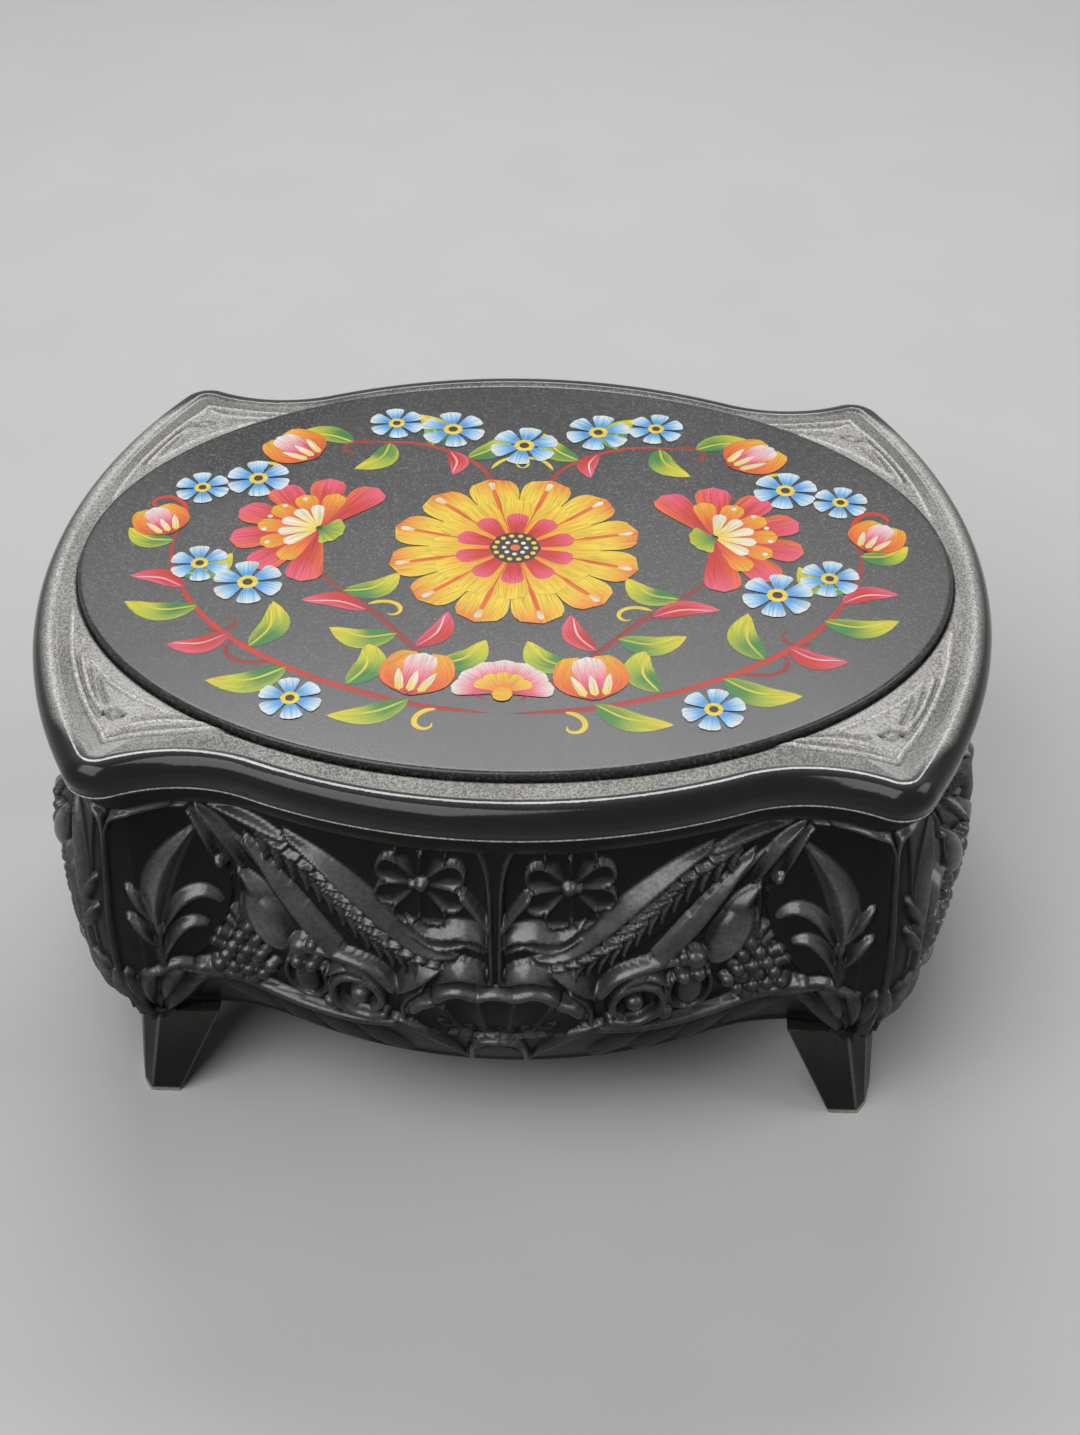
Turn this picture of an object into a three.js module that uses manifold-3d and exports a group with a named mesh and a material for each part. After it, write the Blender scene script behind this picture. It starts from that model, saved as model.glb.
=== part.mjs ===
// Keepsake box of moulded plastic: a swelling casket on four splayed feet with a hinged lid.
// Millimetres, +Z up. The origin lies on the table under the middle of the box; the front faces -Y.

import * as THREE from "three";
import { mergeVertices } from "three/addons/utils/BufferGeometryUtils.js";
import Module from "manifold-3d";

const wasm = await Module();
wasm.setup();

// Plan of the lid: a bow in the middle of the front and back, a hollow beside it, small round
// corners and a plain bow at each end.
const LID_LENGTH = 144;
const LID_WIDTH = 113.8;
const END_BOW_RADIUS = 98;
const FRONT_BOW_RADIUS = 86;
const HOLLOW_RADIUS = 22;
const LID_CORNER_RADIUS = 5.5;
const LID_CORNER_SETBACK = 6.2; // from the middle of the front back to the tip of the corner

// Plan of the walls, which keep the bows of the lid and have rounder corners
const WALL_CORNER_RADIUS = 8.7;
const WALL_CORNER_SETBACK = 6.8;

// Heights above the table
const APRON_HEIGHT = 12.5; // lower edge in the middle of each wall
const SKIRT_HEIGHT = 17; // lower edge over the feet
const BELLY_HEIGHT = 35; // widest level of the wall
const NECK_HEIGHT = 60; // where the plain neck band begins
const RIM_HEIGHT = 63.3; // top edge of the walls

// Walls: how far each level lies inside the outline of the lid; the belly swells past it
const NECK_INSET = 3.4;
const BELLY_INSET = -1.5;
const HEM_INSET = 6.4;
const WALL_THICKNESS = 3.6; // over the highest carving
const FRONT_APRON_STOP = 10.12; // the lower edge stops dipping this far short of the centre of the corner
const END_APRON_STOP = 7.4; // the same along the two ends

// Floor and lining
const FLOOR_HEIGHT = 20.3;
const FLOOR_THICKNESS = 2.5;
const LINING_THICKNESS = 1.2;
const LINING_MARGIN = 0.5;

// Feet: an angle section, wide under the skirt and narrow on the table, leaning outwards.
// Places are measured from the centre of the wall's round corner.
const FOOT_FLANGE = 3;
const FOOT_TOP = { front: 3.8, arris: -0.6, chamferX: 3, chamferY: 2.2, frontReach: 9.9, endReach: 8.5 };
const FOOT_SOLE = { front: 5.6, arris: 2.2, chamferX: 1.4, chamferY: 2, frontReach: 2.3, endReach: 4 };
const FOOT_END_TURN = 14; // degrees between the end flange and the Y axis
const FOOT_BLOCK = 9; // corner block under the floor, along each flange
const FOOT_BLOCK_DROP = 6.3; // how far the block reaches down inside the foot

// Lid: the edge profile runs from the under side out over the bead and in to the border
const LID_EDGE = [
  { inset: 2.8, rise: 0 },
  { inset: 1, rise: 0.4 },
  { inset: 0.2, rise: 1.4 },
  { inset: 0, rise: 2.8 },
  { inset: 0.3, rise: 4.2 },
  { inset: 1.1, rise: 5.4 },
  { inset: 2.2, rise: 6.1 },
  { inset: 3, rise: 6.2 },
  { inset: 3.8, rise: 5.8 },
];
const LID_POCKET_MARGIN = 13; // border of the oval pocket under the lid
const LID_POCKET_DEPTH = 3.2;

// Oval plate and its seat
const PLATE_END_BORDER = 5.8;
const PLATE_FRONT_BORDER = 6.8;
const PLATE_THICKNESS = 2.6;
const PLATE_SEAT_DEPTH = 0.85;
const PLATE_ROUND = 0.6;

// Hinge in the middle of the back
const HINGE_LENGTH = 36;
const BARREL_RADIUS = 1.5;
const PIN_RADIUS = 0.8;
const LEAF_THICKNESS = 0.8;
const WALL_LEAF_HEIGHT = 4.6;
const LID_LEAF_DEPTH = 10.5;
const KNUCKLES = 5;
const STOP_REACH = 2.2; // heel on each lid knuckle that meets the wall leaf when the lid is open
const STOP_THICKNESS = 0.6;
const HINGE_BLOCK_DEPTH = 4.2;
const HINGE_BLOCK_MARGIN = 1;
const SCREW_PITCH = 12;
const SCREW_RADIUS = 0.7;
const SCREW_LENGTH = 3.6;
const SCREW_HEAD_RADIUS = 1.3;
const SCREW_HEAD_HEIGHT = 0.7;
const SCREW_SLOT = 0.35;

// Clearances
const JOINT_GAP = 0.3; // between pieces that are cemented or that rest on each other
const HINGE_GAP = 0.3;
const PIN_GAP = 0.1;
const HOLE_GAP = 0.15;

const lidBase = RIM_HEIGHT + JOINT_GAP;
const lidTop = lidBase + LID_EDGE[LID_EDGE.length - 1].rise;
const liningHeight = FLOOR_HEIGHT + FLOOR_THICKNESS;

// Plan outlines

// The point outside both circles where two circles cross, on the side of larger y.
function crossing(centreA, radiusA, centreB, radiusB) {
  const between = centreB.clone().sub(centreA);
  const span = between.length();
  const along = (radiusA ** 2 - radiusB ** 2 + span ** 2) / (2 * span);
  const across = Math.sqrt(radiusA ** 2 - along ** 2);
  const unit = between.divideScalar(span);
  const normal = new THREE.Vector2(-unit.y, unit.x);
  return centreA.clone().addScaledVector(unit, along).addScaledVector(normal, across);
}

// Centres and radii of the arcs in the quarter with x > 0 and y > 0; each arc touches the next.
function planArcs(cornerRadius, cornerSetback) {
  const bow = new THREE.Vector2(0, LID_WIDTH / 2 - FRONT_BOW_RADIUS);
  const end = new THREE.Vector2(LID_LENGTH / 2 - END_BOW_RADIUS, 0);
  const cornerY = LID_WIDTH / 2 - cornerSetback - cornerRadius;
  const reach = END_BOW_RADIUS - cornerRadius;
  const corner = new THREE.Vector2(end.x + Math.sqrt(reach ** 2 - cornerY ** 2), cornerY);
  const bowReach = FRONT_BOW_RADIUS + HOLLOW_RADIUS;
  const hollow = crossing(bow, bowReach, corner, cornerRadius + HOLLOW_RADIUS);
  const angle = (from, to) => Math.atan2(to.y - from.y, to.x - from.x);
  const cornerStart = angle(corner, hollow);
  const cornerEnd = angle(end, corner);
  return {
    bow,
    end,
    corner,
    hollow,
    cornerRadius,
    bowEnd: angle(bow, hollow),
    hollowStart: angle(hollow, bow),
    hollowEnd: angle(hollow, corner),
    cornerStart,
    cornerEnd,
    mitre: (cornerStart + cornerEnd) / 2,
  };
}

const LID_PLAN = planArcs(LID_CORNER_RADIUS, LID_CORNER_SETBACK);
const WALL_PLAN = planArcs(WALL_CORNER_RADIUS, WALL_CORNER_SETBACK);
const frontApronHalf = WALL_PLAN.corner.x - FRONT_APRON_STOP;
const endApronHalf = WALL_PLAN.corner.y - END_APRON_STOP;

function arc(centre, radius, from, to, steps) {
  const points = [];
  for (let k = 0; k <= steps; k++) {
    const a = from + ((to - from) * k) / steps;
    points.push(new THREE.Vector2(centre.x + radius * Math.cos(a), centre.y + radius * Math.sin(a)));
  }
  return points;
}

// From the middle of the back (x = 0) to the given angle on the round corner.
function backRun(plan, inset, cornerTo) {
  const hollowRadius = HOLLOW_RADIUS + inset;
  const cornerRadius = plan.cornerRadius - inset;
  const bow = arc(plan.bow, FRONT_BOW_RADIUS - inset, Math.PI / 2, plan.bowEnd, 7);
  const hollow = arc(plan.hollow, hollowRadius, plan.hollowStart, plan.hollowEnd, 4);
  const corner = arc(plan.corner, cornerRadius, plan.cornerStart, cornerTo, 3);
  return [...bow, ...hollow.slice(1), ...corner.slice(1)];
}

// From the middle of the right end (y = 0) to the given angle on the round corner.
function endRun(plan, inset, cornerTo) {
  const end = arc(plan.end, END_BOW_RADIUS - inset, 0, plan.cornerEnd, 7);
  const corner = arc(plan.corner, plan.cornerRadius - inset, plan.cornerEnd, cornerTo, 3);
  return [...end, ...corner.slice(1)];
}

const mirrorX = (points) => points.map((p) => new THREE.Vector2(-p.x, p.y));
const mirrorY = (points) => points.map((p) => new THREE.Vector2(p.x, -p.y));

// Whole outline, anticlockwise seen from above.
function outline(plan, inset) {
  const end = endRun(plan, inset, plan.mitre);
  const back = backRun(plan, inset, plan.mitre).reverse();
  const right = [...end, ...back.slice(1)];
  const half = [...right, ...mirrorX(right).reverse().slice(1)];
  return [...half, ...mirrorY(half).reverse().slice(1, -1)];
}

function ellipse(halfLength, halfWidth, steps) {
  return arc(new THREE.Vector2(), 1, 0, 2 * Math.PI, steps)
    .slice(0, -1)
    .map((p) => new THREE.Vector2(p.x * halfLength, p.y * halfWidth));
}

// Solids

function signedVolume(geometry) {
  const position = geometry.getAttribute("position");
  const index = geometry.getIndex();
  const [a, b, c] = [new THREE.Vector3(), new THREE.Vector3(), new THREE.Vector3()];
  let total = 0;
  for (let t = 0; t < index.count; t += 3) {
    a.fromBufferAttribute(position, index.getX(t));
    b.fromBufferAttribute(position, index.getX(t + 1));
    c.fromBufferAttribute(position, index.getX(t + 2));
    total += a.dot(b.cross(c)) / 6;
  }
  return total;
}

function closedGeometry(points, index) {
  const geometry = new THREE.BufferGeometry();
  const coordinates = points.flatMap((p) => [p.x, p.y, p.z]);
  geometry.setAttribute("position", new THREE.Float32BufferAttribute(coordinates, 3));
  geometry.setIndex(index);
  if (signedVolume(geometry) < 0) {
    const turned = [];
    for (let t = 0; t < index.length; t += 3) {
      turned.push(index[t], index[t + 2], index[t + 1]);
    }
    geometry.setIndex(turned);
  }
  return geometry;
}

// A closed solid through a stack of rings that all have the same number of points.
function loft(rings) {
  const count = rings[0].length;
  const index = [];
  for (let k = 0; k + 1 < rings.length; k++) {
    for (let i = 0; i < count; i++) {
      const a = k * count + i;
      const b = k * count + ((i + 1) % count);
      index.push(a, b, b + count, a, b + count, a + count);
    }
  }
  const flat = rings[0].map((p) => new THREE.Vector2(p.x, p.y));
  const last = (rings.length - 1) * count;
  for (const [a, b, c] of THREE.ShapeUtils.triangulateShape(flat, [])) {
    index.push(a, c, b, last + a, last + b, last + c);
  }
  return closedGeometry(rings.flat(), index);
}

const ringAt = (points, z) => points.map((p) => new THREE.Vector3(p.x, p.y, z));

function prism(points, bottom, top) {
  return loft([ringAt(points, bottom), ringAt(points, top)]);
}

// A closed shell between an outer and an inner grid of points, both [level][place along the wall].
function shell(outer, inner) {
  const levels = outer.length;
  const places = outer[0].length;
  const at = (side, k, i) => side * levels * places + k * places + i;
  const index = [];
  const quad = (a, b, c, d) => index.push(a, b, c, a, c, d);
  for (let k = 0; k + 1 < levels; k++) {
    for (let i = 0; i + 1 < places; i++) {
      quad(at(0, k, i), at(0, k, i + 1), at(0, k + 1, i + 1), at(0, k + 1, i));
      quad(at(1, k, i), at(1, k + 1, i), at(1, k + 1, i + 1), at(1, k, i + 1));
    }
    const right = places - 1;
    quad(at(0, k, 0), at(0, k + 1, 0), at(1, k + 1, 0), at(1, k, 0));
    quad(at(0, k, right), at(1, k, right), at(1, k + 1, right), at(0, k + 1, right));
  }
  for (let i = 0; i + 1 < places; i++) {
    const top = levels - 1;
    quad(at(0, 0, i), at(1, 0, i), at(1, 0, i + 1), at(0, 0, i + 1));
    quad(at(0, top, i), at(0, top, i + 1), at(1, top, i + 1), at(1, top, i));
  }
  return closedGeometry([...outer.flat(), ...inner.flat()], index);
}

function solid(geometry) {
  const bare = geometry.clone();
  bare.deleteAttribute("normal");
  bare.deleteAttribute("uv");
  const merged = mergeVertices(bare, 1e-5);
  const mesh = new wasm.Mesh({
    numProp: 3,
    vertProperties: new Float32Array(merged.getAttribute("position").array),
    triVerts: new Uint32Array(merged.getIndex().array),
  });
  return new wasm.Manifold(mesh);
}

function box(x0, x1, y0, y1, z0, z1) {
  const geometry = new THREE.BoxGeometry(x1 - x0, y1 - y0, z1 - z0);
  return solid(geometry.translate((x0 + x1) / 2, (y0 + y1) / 2, (z0 + z1) / 2));
}

function rodAlongX(radius, x0, x1, y, z) {
  const geometry = new THREE.CylinderGeometry(radius, radius, x1 - x0, 16);
  return solid(geometry.rotateZ(Math.PI / 2).translate((x0 + x1) / 2, y, z));
}

// A turned solid about the local Y axis, given as [radius, height] pairs from end to end.
function turned(profile) {
  const points = profile.map(([radius, height]) => new THREE.Vector2(radius, height));
  return solid(new THREE.LatheGeometry(points, 12));
}

function union(...solids) {
  return solids.reduce((whole, next) => whole.add(next));
}

// Materials
const blackPlastic = { color: "#17130f", roughness: 0.38, metalness: 0 };
const platePlastic = { color: "#0f0e0e", roughness: 0.3, metalness: 0 };
const felt = { color: "#5a1720", roughness: 0.95, metalness: 0 };
const platedSteel = { color: "#a58f5c", roughness: 0.35, metalness: 1 };

const group = new THREE.Group();
group.name = "keepsake_box";

function piece(name, shape, finish) {
  let geometry = shape;
  if (!shape.isBufferGeometry) {
    const mesh = shape.getMesh();
    geometry = new THREE.BufferGeometry();
    geometry.setAttribute("position", new THREE.Float32BufferAttribute(mesh.vertProperties, 3));
    geometry.setIndex(new THREE.BufferAttribute(new Uint32Array(mesh.triVerts), 1));
  }
  geometry.computeVertexNormals();
  const mesh = new THREE.Mesh(geometry, new THREE.MeshStandardMaterial(finish));
  mesh.name = name;
  group.add(mesh);
}

// Walls

// How far the outer face lies inside the outline of the lid at a given height.
function wallInset(z) {
  if (z >= NECK_HEIGHT) {
    return NECK_INSET;
  }
  const far = z > BELLY_HEIGHT ? NECK_HEIGHT : APRON_HEIGHT;
  const reach = z > BELLY_HEIGHT ? NECK_INSET : HEM_INSET;
  return BELLY_INSET + (reach - BELLY_INSET) * ((z - BELLY_HEIGHT) / (far - BELLY_HEIGHT)) ** 2;
}

// Lower edge of a wall: lowest in the middle, level over the feet.
function lowerEdge(distance, half) {
  return APRON_HEIGHT + (SKIRT_HEIGHT - APRON_HEIGHT) * Math.min(1, (distance / half) ** 2);
}

const WALL_LEVELS = 8;

// Outer and inner grid of a wall, from a function that gives its plan curve at an inset.
function wallGrids(curve, half, across) {
  const edges = curve(BELLY_INSET).map((p) => lowerEdge(Math.abs(p[across]), half));
  const grid = (depth) => {
    const levels = [];
    for (let k = 0; k <= WALL_LEVELS + 1; k++) {
      const row = edges.map((edge, i) => {
        const share = Math.min(1, k / WALL_LEVELS);
        const z = k > WALL_LEVELS ? RIM_HEIGHT : edge + (NECK_HEIGHT - edge) * share;
        const p = curve(wallInset(z) + depth)[i];
        return new THREE.Vector3(p.x, p.y, z);
      });
      levels.push(row);
    }
    return levels;
  };
  return [grid(0), grid(WALL_THICKNESS)];
}

// Angle on the round corner that keeps half the joint gap from the mitre line.
const gapAngle = (inset) => JOINT_GAP / 2 / (WALL_CORNER_RADIUS - inset);

function backCurve(inset) {
  const run = backRun(WALL_PLAN, inset, WALL_PLAN.mitre + gapAngle(inset));
  return [...mirrorX(run).reverse(), ...run.slice(1)];
}

function rightCurve(inset) {
  const run = endRun(WALL_PLAN, inset, WALL_PLAN.mitre - gapAngle(inset));
  return [...mirrorY(run).reverse(), ...run.slice(1)];
}

const backWall = shell(...wallGrids(backCurve, frontApronHalf, "x"));
const frontWall = shell(...wallGrids((inset) => mirrorY(backCurve(inset)), frontApronHalf, "x"));
const rightWall = shell(...wallGrids(rightCurve, endApronHalf, "y"));
const leftWall = shell(...wallGrids((inset) => mirrorX(rightCurve(inset)), endApronHalf, "y"));

// Hinge: places that both leaves share
const hingeHalf = HINGE_LENGTH / 2;
const padY = LID_WIDTH / 2 - NECK_INSET; // flat seat of the wall leaf, level with the neck
const axisY = padY + BARREL_RADIUS + HINGE_GAP / 2;
const axisZ = lidBase - BARREL_RADIUS - HINGE_GAP;
const wallLeafTop = axisZ - BARREL_RADIUS - HINGE_GAP / 2;
const wallLeafBottom = wallLeafTop - WALL_LEAF_HEIGHT;
const wallScrewZ = (wallLeafTop + wallLeafBottom) / 2;
const lidLeafBottom = lidBase - LEAF_THICKNESS;
const lidLeafFront = axisY - LID_LEAF_DEPTH;
const lidLeafBack = padY - HINGE_GAP;
const lidScrewY = lidLeafFront + SCREW_HEAD_RADIUS + 1;
const screwPlaces = { left: -SCREW_PITCH, middle: 0, right: SCREW_PITCH };

// A slotted round-head screw: the head seats on the local origin and the shank runs along -Y.
function screw() {
  const body = turned([
    [0, -SCREW_LENGTH],
    [SCREW_RADIUS, -SCREW_LENGTH + 0.5],
    [SCREW_RADIUS, 0],
    [SCREW_HEAD_RADIUS, 0],
    [SCREW_HEAD_RADIUS * 0.75, SCREW_HEAD_HEIGHT * 0.7],
    [0, SCREW_HEAD_HEIGHT],
  ]);
  const half = SCREW_SLOT / 2;
  const wide = SCREW_HEAD_RADIUS + 1;
  const slot = box(-wide, wide, SCREW_HEAD_HEIGHT * 0.5, SCREW_HEAD_HEIGHT + 1, -half, half);
  return body.subtract(slot);
}

// Clearance hole for the shank, from above the head down to a blind end.
function screwHole() {
  const depth = SCREW_LENGTH + JOINT_GAP;
  const radius = SCREW_RADIUS + HOLE_GAP;
  return turned([
    [0, -depth],
    [radius, -depth],
    [radius, 1],
    [0, 1],
  ]);
}

// The screw of the wall leaf points to the front, the screw of the lid leaf points up.
const atWall = (shape, x) => shape.translate([x, padY + LEAF_THICKNESS, wallScrewZ]);
const atLid = (shape, x) => shape.rotate([-90, 0, 0]).translate([x, lidScrewY, lidLeafBottom]);

// Every second knuckle belongs to the lid leaf.
function knuckles(first) {
  const pitch = HINGE_LENGTH / KNUCKLES;
  const spans = [];
  for (let k = first; k < KNUCKLES; k += 2) {
    const from = -hingeHalf + k * pitch + (k > 0 ? HINGE_GAP / 2 : 0);
    const to = -hingeHalf + (k + 1) * pitch - (k < KNUCKLES - 1 ? HINGE_GAP / 2 : 0);
    spans.push([from, to]);
  }
  return spans;
}

const bore = rodAlongX(PIN_RADIUS + PIN_GAP, -hingeHalf - 1, hingeHalf + 1, axisY, axisZ);

function wallLeaf() {
  const leafBack = padY + LEAF_THICKNESS;
  let leaf = box(-hingeHalf, hingeHalf, padY, leafBack, wallLeafBottom, wallLeafTop);
  for (const [x0, x1] of knuckles(0)) {
    const finger = box(x0, x1, padY, leafBack, wallLeafTop - 1, axisZ);
    leaf = union(leaf, finger, rodAlongX(BARREL_RADIUS, x0, x1, axisY, axisZ));
  }
  leaf = leaf.subtract(bore);
  for (const x of Object.values(screwPlaces)) {
    leaf = leaf.subtract(atWall(screwHole(), x));
  }
  return leaf;
}

function lidLeaf() {
  let leaf = box(-hingeHalf, hingeHalf, lidLeafFront, lidLeafBack, lidLeafBottom, lidBase);
  for (const [x0, x1] of knuckles(1)) {
    const finger = box(x0, x1, lidLeafBack - 1, axisY, lidLeafBottom, lidBase);
    const barrel = rodAlongX(BARREL_RADIUS, x0, x1, axisY, axisZ);
    const heel = box(x0, x1, axisY, axisY + STOP_REACH, axisZ, axisZ + STOP_THICKNESS);
    leaf = union(leaf, finger, barrel, heel);
  }
  leaf = leaf.subtract(bore);
  for (const x of Object.values(screwPlaces)) {
    leaf = leaf.subtract(atLid(screwHole(), x));
  }
  return leaf;
}

// Back wall: a block for the screws, a flat seat for the leaf and a notch in the rim.
function hingedWall() {
  const blockHalf = hingeHalf + HINGE_BLOCK_MARGIN;
  const seatHalf = hingeHalf + JOINT_GAP;
  const seatBottom = wallLeafBottom - JOINT_GAP;
  const blockFront = padY - HINGE_BLOCK_DEPTH;
  const blockBottom = wallLeafBottom - HINGE_BLOCK_MARGIN;
  const block = box(-blockHalf, blockHalf, blockFront, padY, blockBottom, wallLeafTop);
  const seat = box(-seatHalf, seatHalf, padY, LID_WIDTH, seatBottom, RIM_HEIGHT + 1);
  const notchBottom = lidLeafBottom - JOINT_GAP;
  const notch = box(-seatHalf, seatHalf, lidLeafFront, LID_WIDTH, notchBottom, RIM_HEIGHT + 1);
  let wall = union(solid(backWall), block).subtract(seat).subtract(notch);
  for (const x of Object.values(screwPlaces)) {
    wall = wall.subtract(atWall(screwHole(), x));
  }
  return wall;
}

piece("front_panel", frontWall, blackPlastic);
piece("back_panel", hingedWall(), blackPlastic);
piece("left_panel", leftWall, blackPlastic);
piece("right_panel", rightWall, blackPlastic);

// Floor and lining
const floorInset = wallInset(FLOOR_HEIGHT) + WALL_THICKNESS + JOINT_GAP;
const floorTop = FLOOR_HEIGHT + FLOOR_THICKNESS;
piece("floor_plate", prism(outline(WALL_PLAN, floorInset), FLOOR_HEIGHT, floorTop), blackPlastic);
const liningPlan = outline(WALL_PLAN, floorInset + LINING_MARGIN);
piece("floor_lining", prism(liningPlan, liningHeight, liningHeight + LINING_THICKNESS), felt);

// Feet

// Section of the back right foot at one level, anticlockwise seen from above.
function footSection(size) {
  const turn = THREE.MathUtils.degToRad(FOOT_END_TURN);
  const out = new THREE.Vector2(Math.cos(turn), Math.sin(turn));
  const back = new THREE.Vector2(out.y, -out.x); // along the end flange, away from the corner
  const arris = new THREE.Vector2(size.arris, size.front);
  const heel = new THREE.Vector2(size.arris + size.chamferX, size.front - size.chamferY);
  const tail = heel.clone().addScaledVector(back, size.endReach);
  const tailIn = tail.clone().addScaledVector(out, -FOOT_FLANGE);
  const inFront = size.front - FOOT_FLANGE;
  const heelIn = tailIn.clone().addScaledVector(back, (inFront - tailIn.y) / back.y);
  const toe = new THREE.Vector2(-size.frontReach, size.front);
  const toeIn = new THREE.Vector2(-size.frontReach, inFront);
  return [toe, toeIn, heelIn, tailIn, tail, heel, arris].map((p) => p.add(WALL_PLAN.corner));
}

function foot() {
  const top = SKIRT_HEIGHT - JOINT_GAP;
  const leg = solid(loft([ringAt(footSection(FOOT_SOLE), 0), ringAt(footSection(FOOT_TOP), top)]));
  const inside = wallInset(SKIRT_HEIGHT) + WALL_THICKNESS + JOINT_GAP;
  const { corner, hollow } = WALL_PLAN;
  const blockBack = hollow.y - HOLLOW_RADIUS - inside;
  const blockRight = corner.x + (WALL_CORNER_RADIUS - inside) * 0.7;
  const block = box(
    blockRight - FOOT_BLOCK,
    blockRight,
    blockBack - FOOT_BLOCK,
    blockBack,
    top - FOOT_BLOCK_DROP,
    FLOOR_HEIGHT,
  );
  return union(leg, block);
}

const backRightFoot = foot();
piece("leg_front_left", backRightFoot.mirror([1, 0, 0]).mirror([0, 1, 0]), blackPlastic);
piece("leg_front_right", backRightFoot.mirror([0, 1, 0]), blackPlastic);
piece("leg_back_left", backRightFoot.mirror([1, 0, 0]), blackPlastic);
piece("leg_back_right", backRightFoot, blackPlastic);

// Lid
const plateHalfLength = LID_LENGTH / 2 - PLATE_END_BORDER;
const plateHalfWidth = LID_WIDTH / 2 - PLATE_FRONT_BORDER;
const plateBase = lidTop - PLATE_SEAT_DEPTH;
const plateTop = plateBase + PLATE_THICKNESS;

function lidShell() {
  const rings = LID_EDGE.map(({ inset, rise }) => ringAt(outline(LID_PLAN, inset), lidBase + rise));
  const seatPlan = ellipse(plateHalfLength + JOINT_GAP, plateHalfWidth + JOINT_GAP, 72);
  const seat = solid(prism(seatPlan, plateBase, plateTop));
  const pocketPlan = ellipse(LID_LENGTH / 2 - LID_POCKET_MARGIN, LID_WIDTH / 2 - LID_POCKET_MARGIN, 64);
  const pocket = solid(prism(pocketPlan, lidBase - 1, lidBase + LID_POCKET_DEPTH));
  let lid = solid(loft(rings)).subtract(seat).subtract(pocket);
  for (const x of Object.values(screwPlaces)) {
    lid = lid.subtract(atLid(screwHole(), x));
  }
  return lid;
}

piece("lid_shell", lidShell(), blackPlastic);

const plateRing = (less, z) => ringAt(ellipse(plateHalfLength - less, plateHalfWidth - less, 72), z);
const plate = loft([
  plateRing(0, plateBase),
  plateRing(0, plateTop - PLATE_ROUND),
  plateRing(PLATE_ROUND * 0.3, plateTop - PLATE_ROUND * 0.3),
  plateRing(PLATE_ROUND, plateTop),
]);
piece("painted_plate", plate, platePlastic);

// Hinge pieces
piece("hinge_wall_leaf", wallLeaf(), platedSteel);
piece("hinge_lid_leaf", lidLeaf(), platedSteel);
piece("hinge_pin", rodAlongX(PIN_RADIUS, -hingeHalf - 0.4, hingeHalf + 0.4, axisY, axisZ), platedSteel);
for (const [place, x] of Object.entries(screwPlaces)) {
  piece(`hinge_wall_screw_${place}`, atWall(screw(), x), platedSteel);
  piece(`hinge_lid_screw_${place}`, atLid(screw(), x), platedSteel);
}

export default group;
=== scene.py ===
# %% [markdown]
# A keepsake box of moulded black plastic: four carved walls on four splayed feet, and a hinged
# lid with a painted oval plate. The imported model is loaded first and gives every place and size,
# so each piece below goes straight where its solid is. Lengths are written in millimetres, as a
# maker measures them, and turned into metres at the last moment.

# %% The frame
import math

import bmesh
import bpy
import numpy as np
from mathutils import Matrix, Vector


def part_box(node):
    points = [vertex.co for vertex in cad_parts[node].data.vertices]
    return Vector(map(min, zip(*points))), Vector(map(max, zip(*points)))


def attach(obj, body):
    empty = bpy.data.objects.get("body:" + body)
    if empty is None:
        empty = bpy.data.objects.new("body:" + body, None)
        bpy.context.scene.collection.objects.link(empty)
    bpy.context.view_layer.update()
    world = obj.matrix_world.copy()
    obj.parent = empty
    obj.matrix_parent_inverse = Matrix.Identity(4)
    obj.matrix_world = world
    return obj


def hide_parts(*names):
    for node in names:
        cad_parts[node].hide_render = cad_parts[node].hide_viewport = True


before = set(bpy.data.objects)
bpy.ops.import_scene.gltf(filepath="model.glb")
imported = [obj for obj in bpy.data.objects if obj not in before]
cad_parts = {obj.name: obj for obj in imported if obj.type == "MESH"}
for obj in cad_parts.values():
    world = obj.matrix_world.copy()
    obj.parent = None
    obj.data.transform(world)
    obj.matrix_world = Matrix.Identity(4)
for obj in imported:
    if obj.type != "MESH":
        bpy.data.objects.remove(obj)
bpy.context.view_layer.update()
MM = 0.001

# %% [markdown]
# Every piece ends the same way: its bmesh becomes an object at the origin, gets its finish, rides
# on a body and stands for its solids. One helper does this, so that no piece is left without one
# of those steps. Edges sharper than 40 degrees stay crisp while the rest is shaded smooth.

# %% Handing a piece over
def hand_over(bm, name, finish, body, stands_for=(), crisp=40, turn_out=True):
    if turn_out:
        bmesh.ops.recalc_face_normals(bm, faces=bm.faces)
    mesh = bpy.data.meshes.new(name)
    bm.to_mesh(mesh)
    bm.free()
    mesh.polygons.foreach_set("use_smooth", [True] * len(mesh.polygons))
    if crisp:
        mesh.set_sharp_from_angle(angle=math.radians(crisp))
    mesh.materials.append(finish)
    piece = bpy.data.objects.new(name, mesh)
    bpy.context.scene.collection.objects.link(piece)
    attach(piece, body)
    if stands_for:
        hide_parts(*stands_for)
    print(name, len(mesh.polygons), "faces, rides on", body)
    return piece

# %% [markdown]
# The camera stands where the photograph was taken: a little right of the middle, looking down at
# about forty degrees. Its place and turn came from fitting the lid's outline. They could be set as
# three angles, but two directions, to the right and ahead, say more plainly where it looks.

# %% Camera
EYE = (14.92, -257.82, 254.47)
TO_THE_RIGHT = (0.99909, 0.04277, 0.0)
AHEAD = (-0.03285, 0.7674, -0.6403)
FILM_HEIGHT = 36
LENS_LENGTH = 52.08

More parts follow.
